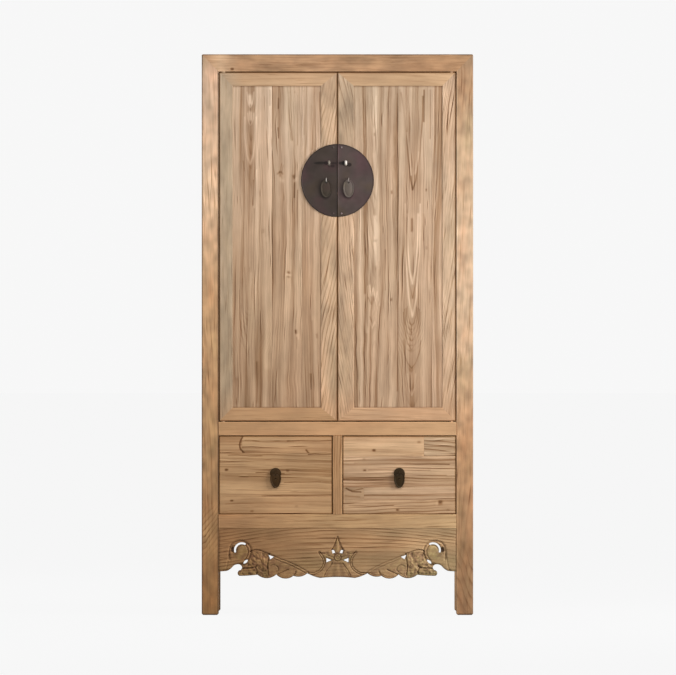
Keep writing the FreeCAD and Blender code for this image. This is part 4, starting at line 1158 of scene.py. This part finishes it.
CURL_RIM = (
    (384, 112), (386, 92), (384, 72), (375, 55), (352, 45), (330, 49), (313, 64), (308, 83), (314, 104),
    (323, 121))
CURL_INNER = ((328, 60), (319, 76), (320, 96), (331, 114))
HOOK_SHADE = ((361, 84), (357, 71), (348, 64), (335, 62))
STEM = ((240, 98), (207, 113), (178, 124), (149, 137), (126, 149), (108, 160))
LEAF_TOP = ((311, 84), (298, 78), (280, 79), (262, 85), (244, 92))
LEAF_END = ((243, 93), (247, 115), (249, 140), (246, 168))
NOSE_LINE = ((338, 144), (318, 143), (300, 141), (288, 136))
SPANDREL_LINE = ((386, 96), (391, 116), (394, 136), (400, 150))
LOBE_CURL = ((240, 136), (226, 132), (214, 138), (211, 149), (218, 156))

# Cuts with a gouge: path, width, depth, and how far beside the path they run
SCROLL_CUTS = (
    (CURL_RIM, 3.3, 3.6, 0.0), (CURL_INNER, 2.0, 4.0, 0.0), (HOOK_SHADE, 2.4, 3.6, 0.0),
    (STEM, 1.8, 2.7, 4.2), (LEAF_TOP, 2.0, 4.0, 0.0), (LEAF_END, 2.2, 5.0, 0.0),
    (NOSE_LINE, 2.4, 4.5, 0.0), (SPANDREL_LINE, 2.2, 1.6, 0.0), (LOBE_CURL, 2.0, 2.4, 0.0),
    (((215, 166), (198, 158), (176, 148)), 2.0, 3.4, 0.0),
    (((289, 166), (287, 154), (292, 142)), 2.0, 3.4, 0.0),
    (((158, 172), (151, 162), (148, 154)), 2.0, 3.4, 0.0),
)
LEAF_LINES = (
    ((268, 88), (267, 102), (271, 118), (266, 132)),
    ((306, 88), (298, 100), (288, 108), (276, 112)),
    ((312, 104), (303, 116), (291, 122), (279, 122), (271, 126)),
    ((304, 128), (294, 133), (282, 134), (274, 142)),
    ((284, 140), (276, 150), (266, 154), (256, 152)),
    ((262, 100), (257, 112), (258, 124)),
    ((260, 134), (255, 142), (257, 150)),
    ((292, 84), (284, 92), (280, 102)),
    ((276, 158), (268, 164), (258, 163)),
    ((334, 152), (340, 158), (337, 166), (328, 165), (327, 158)),
    ((320, 150), (310, 154), (300, 153)),
    ((318, 162), (308, 165), (297, 163)),
)

# Hollows: middle, drop, half width, half height, depth
HOLLOWS = ((374, 77, 6.5, 10.0, 8.0), (338, 130, 13.0, 6.0, 5.0), (316, 133, 9.0, 5.0, 3.0))

# The round field of the scroll: middle, drop, radius
CURL_FIELD = (347, 84, 30)

# Where the leaves and the lobes begin, out from the middle, and how the top of the leaves falls farther out
LEAF_FROM = 246
LOBE_FROM = 106
LEAF_FALL = ((311, 84), (322, 134), (352, 146))

# Depths of the leaves' ground, its lumps and the lobes, and the lumps' seed, then width, length and waves
LEAF_DEEP = 1.3
LUMP_DEEP = 0.8
LOBE_DEEP = 0.8
LUMPS_SEED = 17
LUMPS = (5.0, 5.0, 24)

# Cuts beside the rim, of the leaves' lines and of the petals: width, depth and how far beside
RIM_CUT = (1.3, 1.6, 6.5)
LEAF_CUT = (2.2, 1.5, 0.0)
PETAL_CUT = (1.4, 3.0, 0.0)

# How much of the scroll, the lobes and the star counts as worked, and what the fan takes off
SCROLL_WORKED = 0.85
LOBE_WORKED = 0.6
STAR_WORKED = 0.85
FAN_SMOOTH = 0.55

# Cuts of the star and its fan, as those of the scroll, and the lines on its petals
STAR_CUTS = (
    (((1, 31), (7, 50), (14, 65), (21, 79)), 1.9, 4.4, 0.0),
    (((65, 87), (50, 91), (34, 90)), 1.7, 3.0, 0.0),
    (((65, 87), (57, 98), (50, 109), (48, 121), (49, 129), (54, 141), (64, 152), (82, 162), (102, 164)),
     1.6, 3.8, 3.2),
    (((19, 125), (28, 137), (36, 149), (45, 166), (50, 180)), 1.7, 3.6, 0.0),
)
PETAL_LINES = (((11, 97), (17, 84)), ((14, 104), (40, 96)), ((13, 112), (24, 118)))

# Half widths of the star and of the fan under it, from their tops down
STAR_HALF = (
    (31, 1), (50, 7), (65, 14), (79, 22), (87, 62), (98, 56), (109, 50), (121, 47), (141, 46), (180, 56))
FAN_HALF = ((122, 20), (180, 50))
STAR_TOP = STAR_HALF[0][0]
FAN_TOP = FAN_HALF[0][0]

# Flutes of the fan: the drop that they spread from, their number round a turn, depth and swing
FLUTES_FROM = 60
FLUTES = 22
FLUTE_DEEP = 2.6
FLUTE_SWING = 0.6

# The boss: middle, drop and radius, its two rings, and the dimples about it: reach, depth and pitch
BOSS = (0, 105, 12.5)
BOSS_RINGS = ((1.8, 3.4, BOSS[2]), (1.4, 2.0, 0.42 * BOSS[2]))
DIMPLES = (20, 0.9, 1.3)

# The star's upper points are hollowed: down to which drop, and how deep
POINTS_TO = 84
POINTS_DEEP = 2.0

# Rounding of the rim: depth and reach; dirt and painted shade along it: share and reach; dirt and painted
# shade in cuts: first depth and reach
RIM_ROUND = (2.6, 2.2)
RIM_DIRT_AND_SHADE = (0.60, 3.2)
CUT_DIRT_AND_SHADE = (1.4, 5.0)

# Moss: the drop where it begins on the leaves; its share, half width and lowest drop on the star
MOSS_LOW = 146
MOSS_MIDDLE = (0.6, 62, 126)

# Steps of a smooth path from one point to the next
PATH_STEPS = 8

# The relief's mesh: columns and rows, how far it reaches past the board, the share of rows in the carved
# band, where that band ends under the rail, and the deepest cut
RELIEF_GRID = (610, 118)
RELIEF_PAST = 0.004
CARVED_SHARE = 0.86
CARVED_FROM = 0.022
DEEPEST = 8.0


def flowing(points):
    """A smooth path through points."""
    path = []
    ends = [points[0]] + list(points) + [points[-1]]
    for a, b, c, d in zip(ends, ends[1:], ends[2:], ends[3:]):
        for t in np.linspace(0, 1, PATH_STEPS, endpoint=False):
            path.append(tuple(
                0.5 * (2 * q + (r - p) * t + (2 * p - 5 * q + 4 * r - s) * t * t
                       + (3 * q - p - 3 * r + s) * t ** 3)
                for p, q, r, s in zip(a, b, c, d)))
    return path + [points[-1]]


def distance(path, across, drop):
    """How far many spots lie from a path."""
    best = np.full(across.shape, 1e6)
    for (ax, ad), (bx, bd) in zip(path, path[1:]):
        dx, dd = bx - ax, bd - ad
        share = ((across - ax) * dx + (drop - ad) * dd) / max(dx * dx + dd * dd, 1e-9)
        share = np.clip(share, 0.0, 1.0)
        best = np.minimum(best, np.hypot(across - ax - share * dx, drop - ad - share * dd))
    return best


def gouge(spread, width, depth, beside):
    """The depth of a cut made with a rounded gouge, at or beside a path."""
    return depth * np.exp(-((spread - beside) / width) ** 2)


def gouged(cuts, across, drop):
    """The depth of several cuts together."""
    return sum(gouge(distance(flowing(path), across, drop), width, depth, beside)
               for path, width, depth, beside in cuts)


def rising(value, start, reach):
    """0 up to a start, then rising to 1 over a reach; a reach below 0 counts the other way."""
    return np.clip((value - start) / reach, 0, 1)


def along_path(path, spots):
    """The second value of a path at many spots of its first."""
    return np.interp(spots, *zip(*sorted(path)))


def scroll_field(across, drop):
    """The round field of the scroll, from 0 to 1."""
    middle, down, radius = CURL_FIELD
    return rising(np.hypot(across - middle, drop - down), radius, -5)


def carving(x, drop, rim):
    """Depth of the carving, in millimetres, and how far the ground is worked, at many spots of the apron."""
    across = np.abs(x)
    cut = gouged(SCROLL_CUTS, across, drop)
    for middle, down, wide, tall, deep in HOLLOWS:
        cut += deep * np.exp(-(((across - middle) / wide) ** 2 + ((drop - down) / tall) ** 2) ** 2)
    leaves, lobes = leaf_ground(across, drop)
    lumps = drift(np.random.default_rng(LUMPS_SEED), x, drop, *LUMPS)
    cut += leaves * (LEAF_DEEP + LUMP_DEEP * lumps) + LOBE_DEEP * lobes
    cut += gouge(rim, *RIM_CUT) * np.maximum(leaves, lobes)
    cut += gouged([(path, *LEAF_CUT) for path in LEAF_LINES], across, drop) * leaves
    flower, worked = star(x, across, drop)
    worked = np.maximum(worked, SCROLL_WORKED * scroll_field(across, drop))
    return cut + flower, np.maximum(worked, np.maximum(leaves, LOBE_WORKED * lobes))


def leaf_ground(across, drop):
    """Where the curled leaves and the plain lobes beside them lie, from 0 to 1."""
    top = np.maximum(along_path(LEAF_TOP, across), along_path(LEAF_FALL, across))
    leaves = rising(across, LEAF_FROM, 3) * rising(drop, top, 5)
    under_stem = rising(drop - 5, along_path(STEM, across), 4)
    lobes = under_stem * rising(across, LOBE_FROM, 6) * rising(across, LEAF_FROM, -3)
    return leaves, lobes


def star(x, across, drop):
    """The middle flower and the fluted fan under it: depth and worked ground."""
    cut = gouged(STAR_CUTS, across, drop)
    for path in PETAL_LINES:
        cut += gouge(distance(path, across, drop), *PETAL_CUT)
    spread = np.hypot(x - BOSS[0], drop - BOSS[1])
    for ring in BOSS_RINGS:
        cut += gouge(spread, *ring)
    inside = rising(across, along_path(STAR_HALF, drop), -2.5) * rising(drop, STAR_TOP, 3)
    fan = inside * rising(drop, FAN_TOP, 6) * rising(across, along_path(FAN_HALF, drop), -3)
    cut += fan * (FLUTE_DEEP - FLUTE_SWING * np.cos(np.arctan2(x, drop - FLUTES_FROM) * FLUTES))
    reach, deep, pitch = DIMPLES
    cut += np.exp(-(spread / reach) ** 2) * deep * (1 + np.cos(pitch * x) * np.cos(pitch * drop))
    cut += inside * rising(drop, POINTS_TO, -6) * rising(across, 0, 8) * POINTS_DEEP
    return cut, inside * (STAR_WORKED - FAN_SMOOTH * fan)


def outline_of(work, front):
    """The edges round the front face of a board, as pairs of points in millimetres."""
    pairs = []
    for edge in work.edges:
        on_front = all(abs(v.co.y - front) < 1e-5 for v in edge.verts)
        turned = [abs(face.normal.y) for face in edge.link_faces]
        if on_front and turned and min(turned) < 0.5:
            pairs.append([(v.co.x / MM, v.co.z / MM) for v in edge.verts])
    return pairs


def from_rim(borders, x, z):
    """How far many spots lie from the edges of the apron, in millimetres."""
    best = np.full(x.shape, 1e6)
    for border in borders:
        best = np.minimum(best, distance(border, x, z))
    return best


def carved_apron(frame):
    """The apron board with its carving cut into the front."""
    low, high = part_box("front_apron")
    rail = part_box("bottom_rail_front")[0].z
    form = copy_of(frame, "front_apron")
    borders = outline_of(form, low.y)
    relief = bmesh.new()
    bmesh.ops.create_grid(relief, x_segments=RELIEF_GRID[0], y_segments=RELIEF_GRID[1], size=0.5)
    verts = list(relief.verts)
    flat = np.array([v.co[:2] for v in verts]) + 0.5
    x = (low.x - RELIEF_PAST) + flat[:, 0] * (high.x - low.x + 2 * RELIEF_PAST)
    levels = (low.z - RELIEF_PAST, rail - CARVED_FROM, high.z + RELIEF_PAST)
    z = np.interp(flat[:, 1], (0.0, CARVED_SHARE, 1.0), levels)
    rim = from_rim(borders, x / MM, z / MM)
    drop = (rail - z) / MM
    depth = carving(x / MM, drop, rim)[0]
    depth += RIM_ROUND[0] * np.exp(-rim / RIM_ROUND[1]) * rising(drop, 0, 12)
    for vert, vx, vz, cut in zip(verts, x, z, depth):
        vert.co = (vx, low.y + min(cut, DEEPEST) * MM, vz)
    close_behind(relief, high.y + RELIEF_PAST)
    bmesh.ops.recalc_face_normals(relief, faces=relief.faces)
    mesh = boolean(relief, form, "INTERSECT")
    carving_stain_and_shade(mesh, rail, borders)
    cut = Board(
        "xzy", (148, 107, 69), 233, face=low.y, pith=-0.35, below=0.02, arch=0.16, start=0.05, ring=0.0125,
        late=0.62, streak=0.28, fine=0.45, sway=0.032, relief=0.4, patchy=0.5, rosy=1.2, carved=True,
        edges=(("x", high.x, 0.8, (1.48, 1.90, 2.38)),))
    made = bpy.data.objects.new("carved_apron", mesh)
    set_up(made, "carcass", wood("carved_apron_wood", cut), ("front_apron",))
    return rounded(made, 40)


def carving_stain_and_shade(mesh, rail, borders):
    """Keeps for the material the grime and painted shade of each spot, from its depth and nearness to the rim,
    how far it was worked and where it is mossy.
    """
    places = np.empty(3 * len(mesh.vertices), dtype=np.float32)
    mesh.vertices.foreach_get("co", places)
    x, _, z = places.reshape(-1, 3).T.astype(float) / MM
    across, drop = np.abs(x), rail / MM - z
    deep, worked = carving(x, drop, np.full(x.shape, 1e6))
    # Painted shade with dirt: darker along the rim and in the deeper cuts
    rim = RIM_DIRT_AND_SHADE[0] * np.exp(-from_rim(borders, x, z) / RIM_DIRT_AND_SHADE[1]) * rising(drop, 24, 12)
    dirt_and_shade = np.clip(np.maximum((deep - CUT_DIRT_AND_SHADE[0]) / CUT_DIRT_AND_SHADE[1], rim), 0, 1)
    low_leaf = rising(drop, MOSS_LOW, 14) * rising(across, LEAF_FROM, 4)
    share, half, bottom = MOSS_MIDDLE
    middle = share * rising(across, half, -8) * rising(drop, bottom, -8) * worked
    moss = np.clip(low_leaf + middle + scroll_field(across, drop), 0, 1)
    for name, values in (("cut", dirt_and_shade), ("worked", worked), ("moss", moss)):
        mesh.attributes.new(name, "FLOAT", "POINT").data.foreach_set("value", values.astype(np.float32))


# Iron fittings

IRON_SEED = {"left": 5, "right": 9}
# Mean colours of the iron: the right side's plate and pull are lighter as painted light from the lamp on the
# right, and the eyes, staples and right nails are painted highlights
IRON_MEANS = {
    "left": {"plate": (63, 53, 48), "eye": (132, 124, 120), "staple": (170, 163, 156), "pull": (62, 54, 45),
             "drawer": (58, 38, 13), "nail": (84, 76, 70)},
    "right": {"plate": (78, 66, 62), "eye": (220, 214, 208), "staple": (140, 130, 124), "pull": (99, 89, 83),
              "drawer": (46, 33, 13), "nail": (128, 120, 114)},
}

# Painted shadows round the lock eyes, and a painted highlight along the right half's seam: x, z, half width,
# half height, gain
PLATE_PAINTED_LIGHT = {
    "left": ((-0.062, 1.6120, 0.026, 0.0055, -0.60), (-0.040, 1.6120, 0.010, 0.0075, -0.50),
             (-0.013, 1.6115, 0.016, 0.0040, -0.50), (-0.017, 1.6015, 0.008, 0.0060, -0.50)),
    "right": ((0.0140, 1.6115, 0.012, 0.0060, -0.70), (0.0225, 1.6115, 0.008, 0.0095, -0.80),
              (0.0420, 1.6060, 0.010, 0.0080, -0.75), (0.0030, 1.5500, 0.003, 0.1250, 0.22)),
}

# Painted shadow of a door's pull on the plate, to its lower left: half width, half height, gain, and how far
# aside; reach of the dark rim
PULL_PAINTED_SHADOW = (0.0250, 0.0400, -0.55)
PULL_SHADOW_ASIDE = 0.003
PLATE_RIM_REACH = 0.0045

# Sides of the plate and of the pulls, their insets as width and depth, and the radius of a pull's hole
PLATE_SIDES = 160
PLATE_INSETS = ((0.0005, 0.0), (0.0035, 0.0), (0.0008, -0.0005))
LEAF_SIDES = 56
LEAF_INSETS = ((0.0006, 0.0), (0.0024, 0.0), (0.0022, -0.0012), (0.0050, 0.0012))
LEAF_HOLE = 0.0034

# Shape of the leaves: below 1 the widest place lies above the middle
DOOR_LEAF = 0.92
DRAWER_LEAF = 0.66

# Fittings: faces that count as flat, edges that count as sharp, and how far those are eased
FLAT = math.radians(0.5)
SHARP = math.radians(50)
FITTING_EASE = 0.0005

# Lock eyes and their shanks, and the nails beside the seam
EYE_THICK = 0.00225
SHANK_HALF = 0.003
SHANK_PROUD = 0.0015
SHANK_EASE = 0.0003
NAIL_R = 0.0032
NAIL_FLAT = 0.55
NAIL_FROM_RIM = 0.012
NAIL_FROM_SEAM = 0.0146


def dress_fittings(frame):
    """Lock plate, eyes, staples, pulls and nails."""
    low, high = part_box("left_door_lock_plate")
    rim = (0.0, (low.z + high.z) / 2, (high.z - low.z) / 2, PLATE_RIM_REACH)
    for side, sign in SIDES:
        means, seed = IRON_MEANS[side], IRON_SEED[side]
        door, drawer = side + "_door", side + "_drawer"
        first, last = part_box(door + "_pull")
        # Painted shadow of the pull, to its lower left
        pull_shadow = ((first.x + last.x) / 2 - PULL_SHADOW_ASIDE, (first.z + last.z) / 2 - PULL_SHADOW_ASIDE, *PULL_PAINTED_SHADOW)
        plate = iron(side + "_plate_iron", means["plate"], seed, rim, spots=PLATE_PAINTED_LIGHT[side] + (pull_shadow,))
        lock_plate(side, sign, plate)
        # The eyes' and staples' pale iron is painted highlight
        lock_eye(side, iron(side + "_eye_iron", means["eye"], seed + 20, rough=0.30))
        staple = iron(side + "_staple_iron", means["staple"], seed + 30, rough=0.34)
        eased_fitting(frame, door + "_pull_staple", door, staple)
        leaf = iron(side + "_pull_iron", means["pull"], seed + 40)
        leaf_pull(door + "_pull", door + "_drop_pull", door + "_pull_staple", leaf, DOOR_LEAF)
        dark = iron(side + "_drawer_iron", means["drawer"], seed + 50, rough=0.38)
        eased_fitting(frame, drawer + "_pull_mount", drawer, dark)
        leaf_pull(drawer + "_pull", drawer + "_drop_pull", drawer + "_pull_mount", dark, DRAWER_LEAF)
        nails(side, sign, iron(side + "_nail_iron", means["nail"], seed + 60))


def lock_plate(side, sign, material):
    """Half of the round plate, with a narrow rim hammered up round it."""
    node = side + "_door_lock_plate"
    low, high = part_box(node)
    seam = high.x if sign < 0 else low.x
    work = upright_disc(PLATE_SIDES, (high.z - low.z) / 2)
    bmesh.ops.translate(work, vec=(0, low.y, (low.z + high.z) / 2), verts=work.verts)
    bmesh.ops.bisect_plane(work, geom=work.verts[:] + work.edges[:] + work.faces[:], plane_co=(seam, 0, 0),
                           plane_no=(sign, 0, 0), clear_inner=True)
    face = work.faces[:]
    close_behind(work, high.y)
    stepped(work, face, PLATE_INSETS)
    return rounded(piece(node + "_shown", work, side + "_door", material, (node,)), 20)


def eased_fitting(frame, node, body, material):
    """A small fitting with its sharp edges taken off."""
    work = copy_of(frame, node)
    bmesh.ops.dissolve_limit(work, angle_limit=FLAT, verts=work.verts, edges=work.edges)
    sharp = [e for e in work.edges if len(e.link_faces) == 2 and e.calc_face_angle(0.0) > SHARP]
    bevelled(work, sharp, FITTING_EASE)
    return rounded(piece(node + "_shown", work, body, material, (node,)), 40)


def leaf_pull(node, body, staple, material, fill):
    """A leaf-shaped drop: a rim, a swelling field, and a hole for the staple."""
    low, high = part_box(node)
    wide, long = (high.x - low.x) / 2, high.z - low.z
    middle = (low.x + high.x) / 2
    work = upright_disc(LEAF_SIDES, 1.0)
    for vert in work.verts:
        down = (1 - vert.co.z) / 2
        half = math.copysign(leaf_half(down, fill), vert.co.x) if abs(vert.co.x) > 1e-4 else 0.0
        vert.co = (middle + wide * half, low.y, high.z - long * down)
    face = work.faces[:]
    close_behind(work, high.y)
    stepped(work, face, LEAF_INSETS)
    hole = bmesh.new()
    bmesh.ops.create_cone(hole, cap_ends=True, segments=24, radius1=LEAF_HOLE, radius2=LEAF_HOLE, depth=0.02,
                          matrix=UPRIGHT)
    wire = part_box(staple)[0].z + 0.0004
    bmesh.ops.translate(hole, vec=(middle, (low.y + high.y) / 2, wire), verts=hole.verts)
    made = bpy.data.objects.new(node + "_shown", boolean(work, hole, "DIFFERENCE"))
    return rounded(set_up(made, body, material, (node,)), 35)


def leaf_half(down, fill):
    """Half of a leaf's width at a share of the way down it, as a share of its widest."""
    return math.sqrt(max(0.0, 1 - abs(2 * down ** fill - 1) ** 2.1))


def lock_eye(side, material):
    """A ring standing on the plate, on a square shank."""
    node = side + "_door_lock_eye"
    low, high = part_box(node)
    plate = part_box(side + "_door_lock_plate")[0].y
    outer = (high.z - low.z) / 2
    width = (high.x - low.x) / 2
    middle = Vector(((low.x + high.x) / 2, low.y + outer, (low.z + high.z) / 2))
    work = bmesh.new()
    ring = bmesh.ops.create_circle(work, segments=16, radius=1.0)["verts"]
    bmesh.ops.scale(work, vec=(width, EYE_THICK, 1.0), verts=ring)
    bmesh.ops.translate(work, vec=middle + Vector((0, -(outer - EYE_THICK), 0)), verts=ring)
    bmesh.ops.spin(work, geom=list(work.verts) + list(work.edges), cent=middle, axis=(1, 0, 0),
                   angle=2 * math.pi, steps=32, use_merge=True)
    bmesh.ops.remove_doubles(work, verts=work.verts, dist=1e-6)
    add(work, block((middle.x - SHANK_HALF, plate - SHANK_PROUD, middle.z - SHANK_HALF),
                    (middle.x + SHANK_HALF, high.y, middle.z + SHANK_HALF), SHANK_EASE))
    return rounded(piece(node + "_shown", work, side + "_door", material, (node,)), 50)


def nails(side, sign, material):
    """The domed nails that hold the plate, beside the seam."""
    low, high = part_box(side + "_door_lock_plate")
    work = bmesh.new()
    for z in (low.z + NAIL_FROM_RIM, high.z - NAIL_FROM_RIM):
        made = bmesh.ops.create_uvsphere(work, u_segments=20, v_segments=10, radius=NAIL_R)["verts"]
        bmesh.ops.scale(work, vec=(1, NAIL_FLAT, 1), verts=made)
        bmesh.ops.translate(work, vec=(sign * NAIL_FROM_SEAM, low.y, z), verts=made)
    return rounded(piece(side + "_plate_nails", work, side + "_door", material), 60)


# Stage, lamps and camera

def on_show(sheet):
    """1 for rays that show the surroundings, straight or mirrored, and 0 for those that light the object."""
    kinds = ("Is Camera Ray", "Is Glossy Ray", "Is Transmission Ray")
    seen, glossy, through = (sheet.node("LightPath", {}, {}, kind) for kind in kinds)
    return seen.math("MAXIMUM", glossy).math("MAXIMUM", through)


def stage():
    """A pale floor and a white surround."""
    sheet = Sheet("floor_white")
    bare = sheet.node("BsdfDiffuse", {}, {"Color": grey(FLOOR_GREY)})
    lit = sheet.node("Emission", {}, {"Color": grey(FLOOR_GLOW), "Strength": 1.0})
    shader = sheet.node("MixShader", {}, {0: on_show(sheet) * (1 - FLOOR_SHOW), 1: bare, 2: lit})
    work = bmesh.new()
    bmesh.ops.create_circle(work, cap_ends=True, segments=96, radius=FLOOR_SPREAD)
    mesh = bpy.data.meshes.new("floor")
    work.to_mesh(mesh)
    work.free()
    floor = bpy.data.objects.new("floor", mesh)
    floor.data.materials.append(sheet.finish(shader))
    bpy.context.scene.collection.objects.link(floor)
    sheet = Sheet("surround", bpy.data.worlds)
    level = AMBIENT + on_show(sheet) * (BACKDROP - AMBIENT)
    back = sheet.node("Background", {}, {"Color": grey(1.0), "Strength": level})
    bpy.context.scene.world = sheet.finish(back, "OutputWorld")


def lamp(name, watts, place, aim, size):
    """A soft rectangular lamp."""
    light = bpy.data.lights.new(name, "AREA")
    light.shape = "RECTANGLE"
    light.energy = watts
    light.size, light.size_y = size
    made = bpy.data.objects.new(name, light)
    made.location = place
    made.rotation_euler = (Vector(aim) - Vector(place)).to_track_quat("-Z", "Y").to_euler()
    bpy.context.scene.collection.objects.link(made)


def camera():
    """A long lens square to the front."""
    lens = bpy.data.cameras.new("camera")
    lens.sensor_width = SENSOR
    lens.sensor_fit = "HORIZONTAL"
    lens.lens = SENSOR * CAMERA_FAR / (PICTURE_PIXELS * PIXEL)
    lens.clip_end = CLIP_FAR
    made = bpy.data.objects.new("camera", lens)
    made.location = (CAMERA_X, FRONT_Y - CAMERA_FAR, CAMERA_Z)
    made.rotation_euler = (math.pi / 2, 0, 0)
    bpy.context.scene.collection.objects.link(made)
    bpy.context.scene.camera = made


def main():
    """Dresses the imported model."""
    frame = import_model()
    dress_posts(frame)
    dress_rails(frame)
    dress_boards(frame)
    dress_doors(frame)
    dress_drawers(frame)
    carved_apron(frame)
    dress_fittings(frame)
    stage()
    lamp("key", *KEY)
    lamp("fill", *FILL)
    lamp("rear", *REAR)
    camera()
    bpy.context.scene.view_settings.view_transform = "Standard"


main()
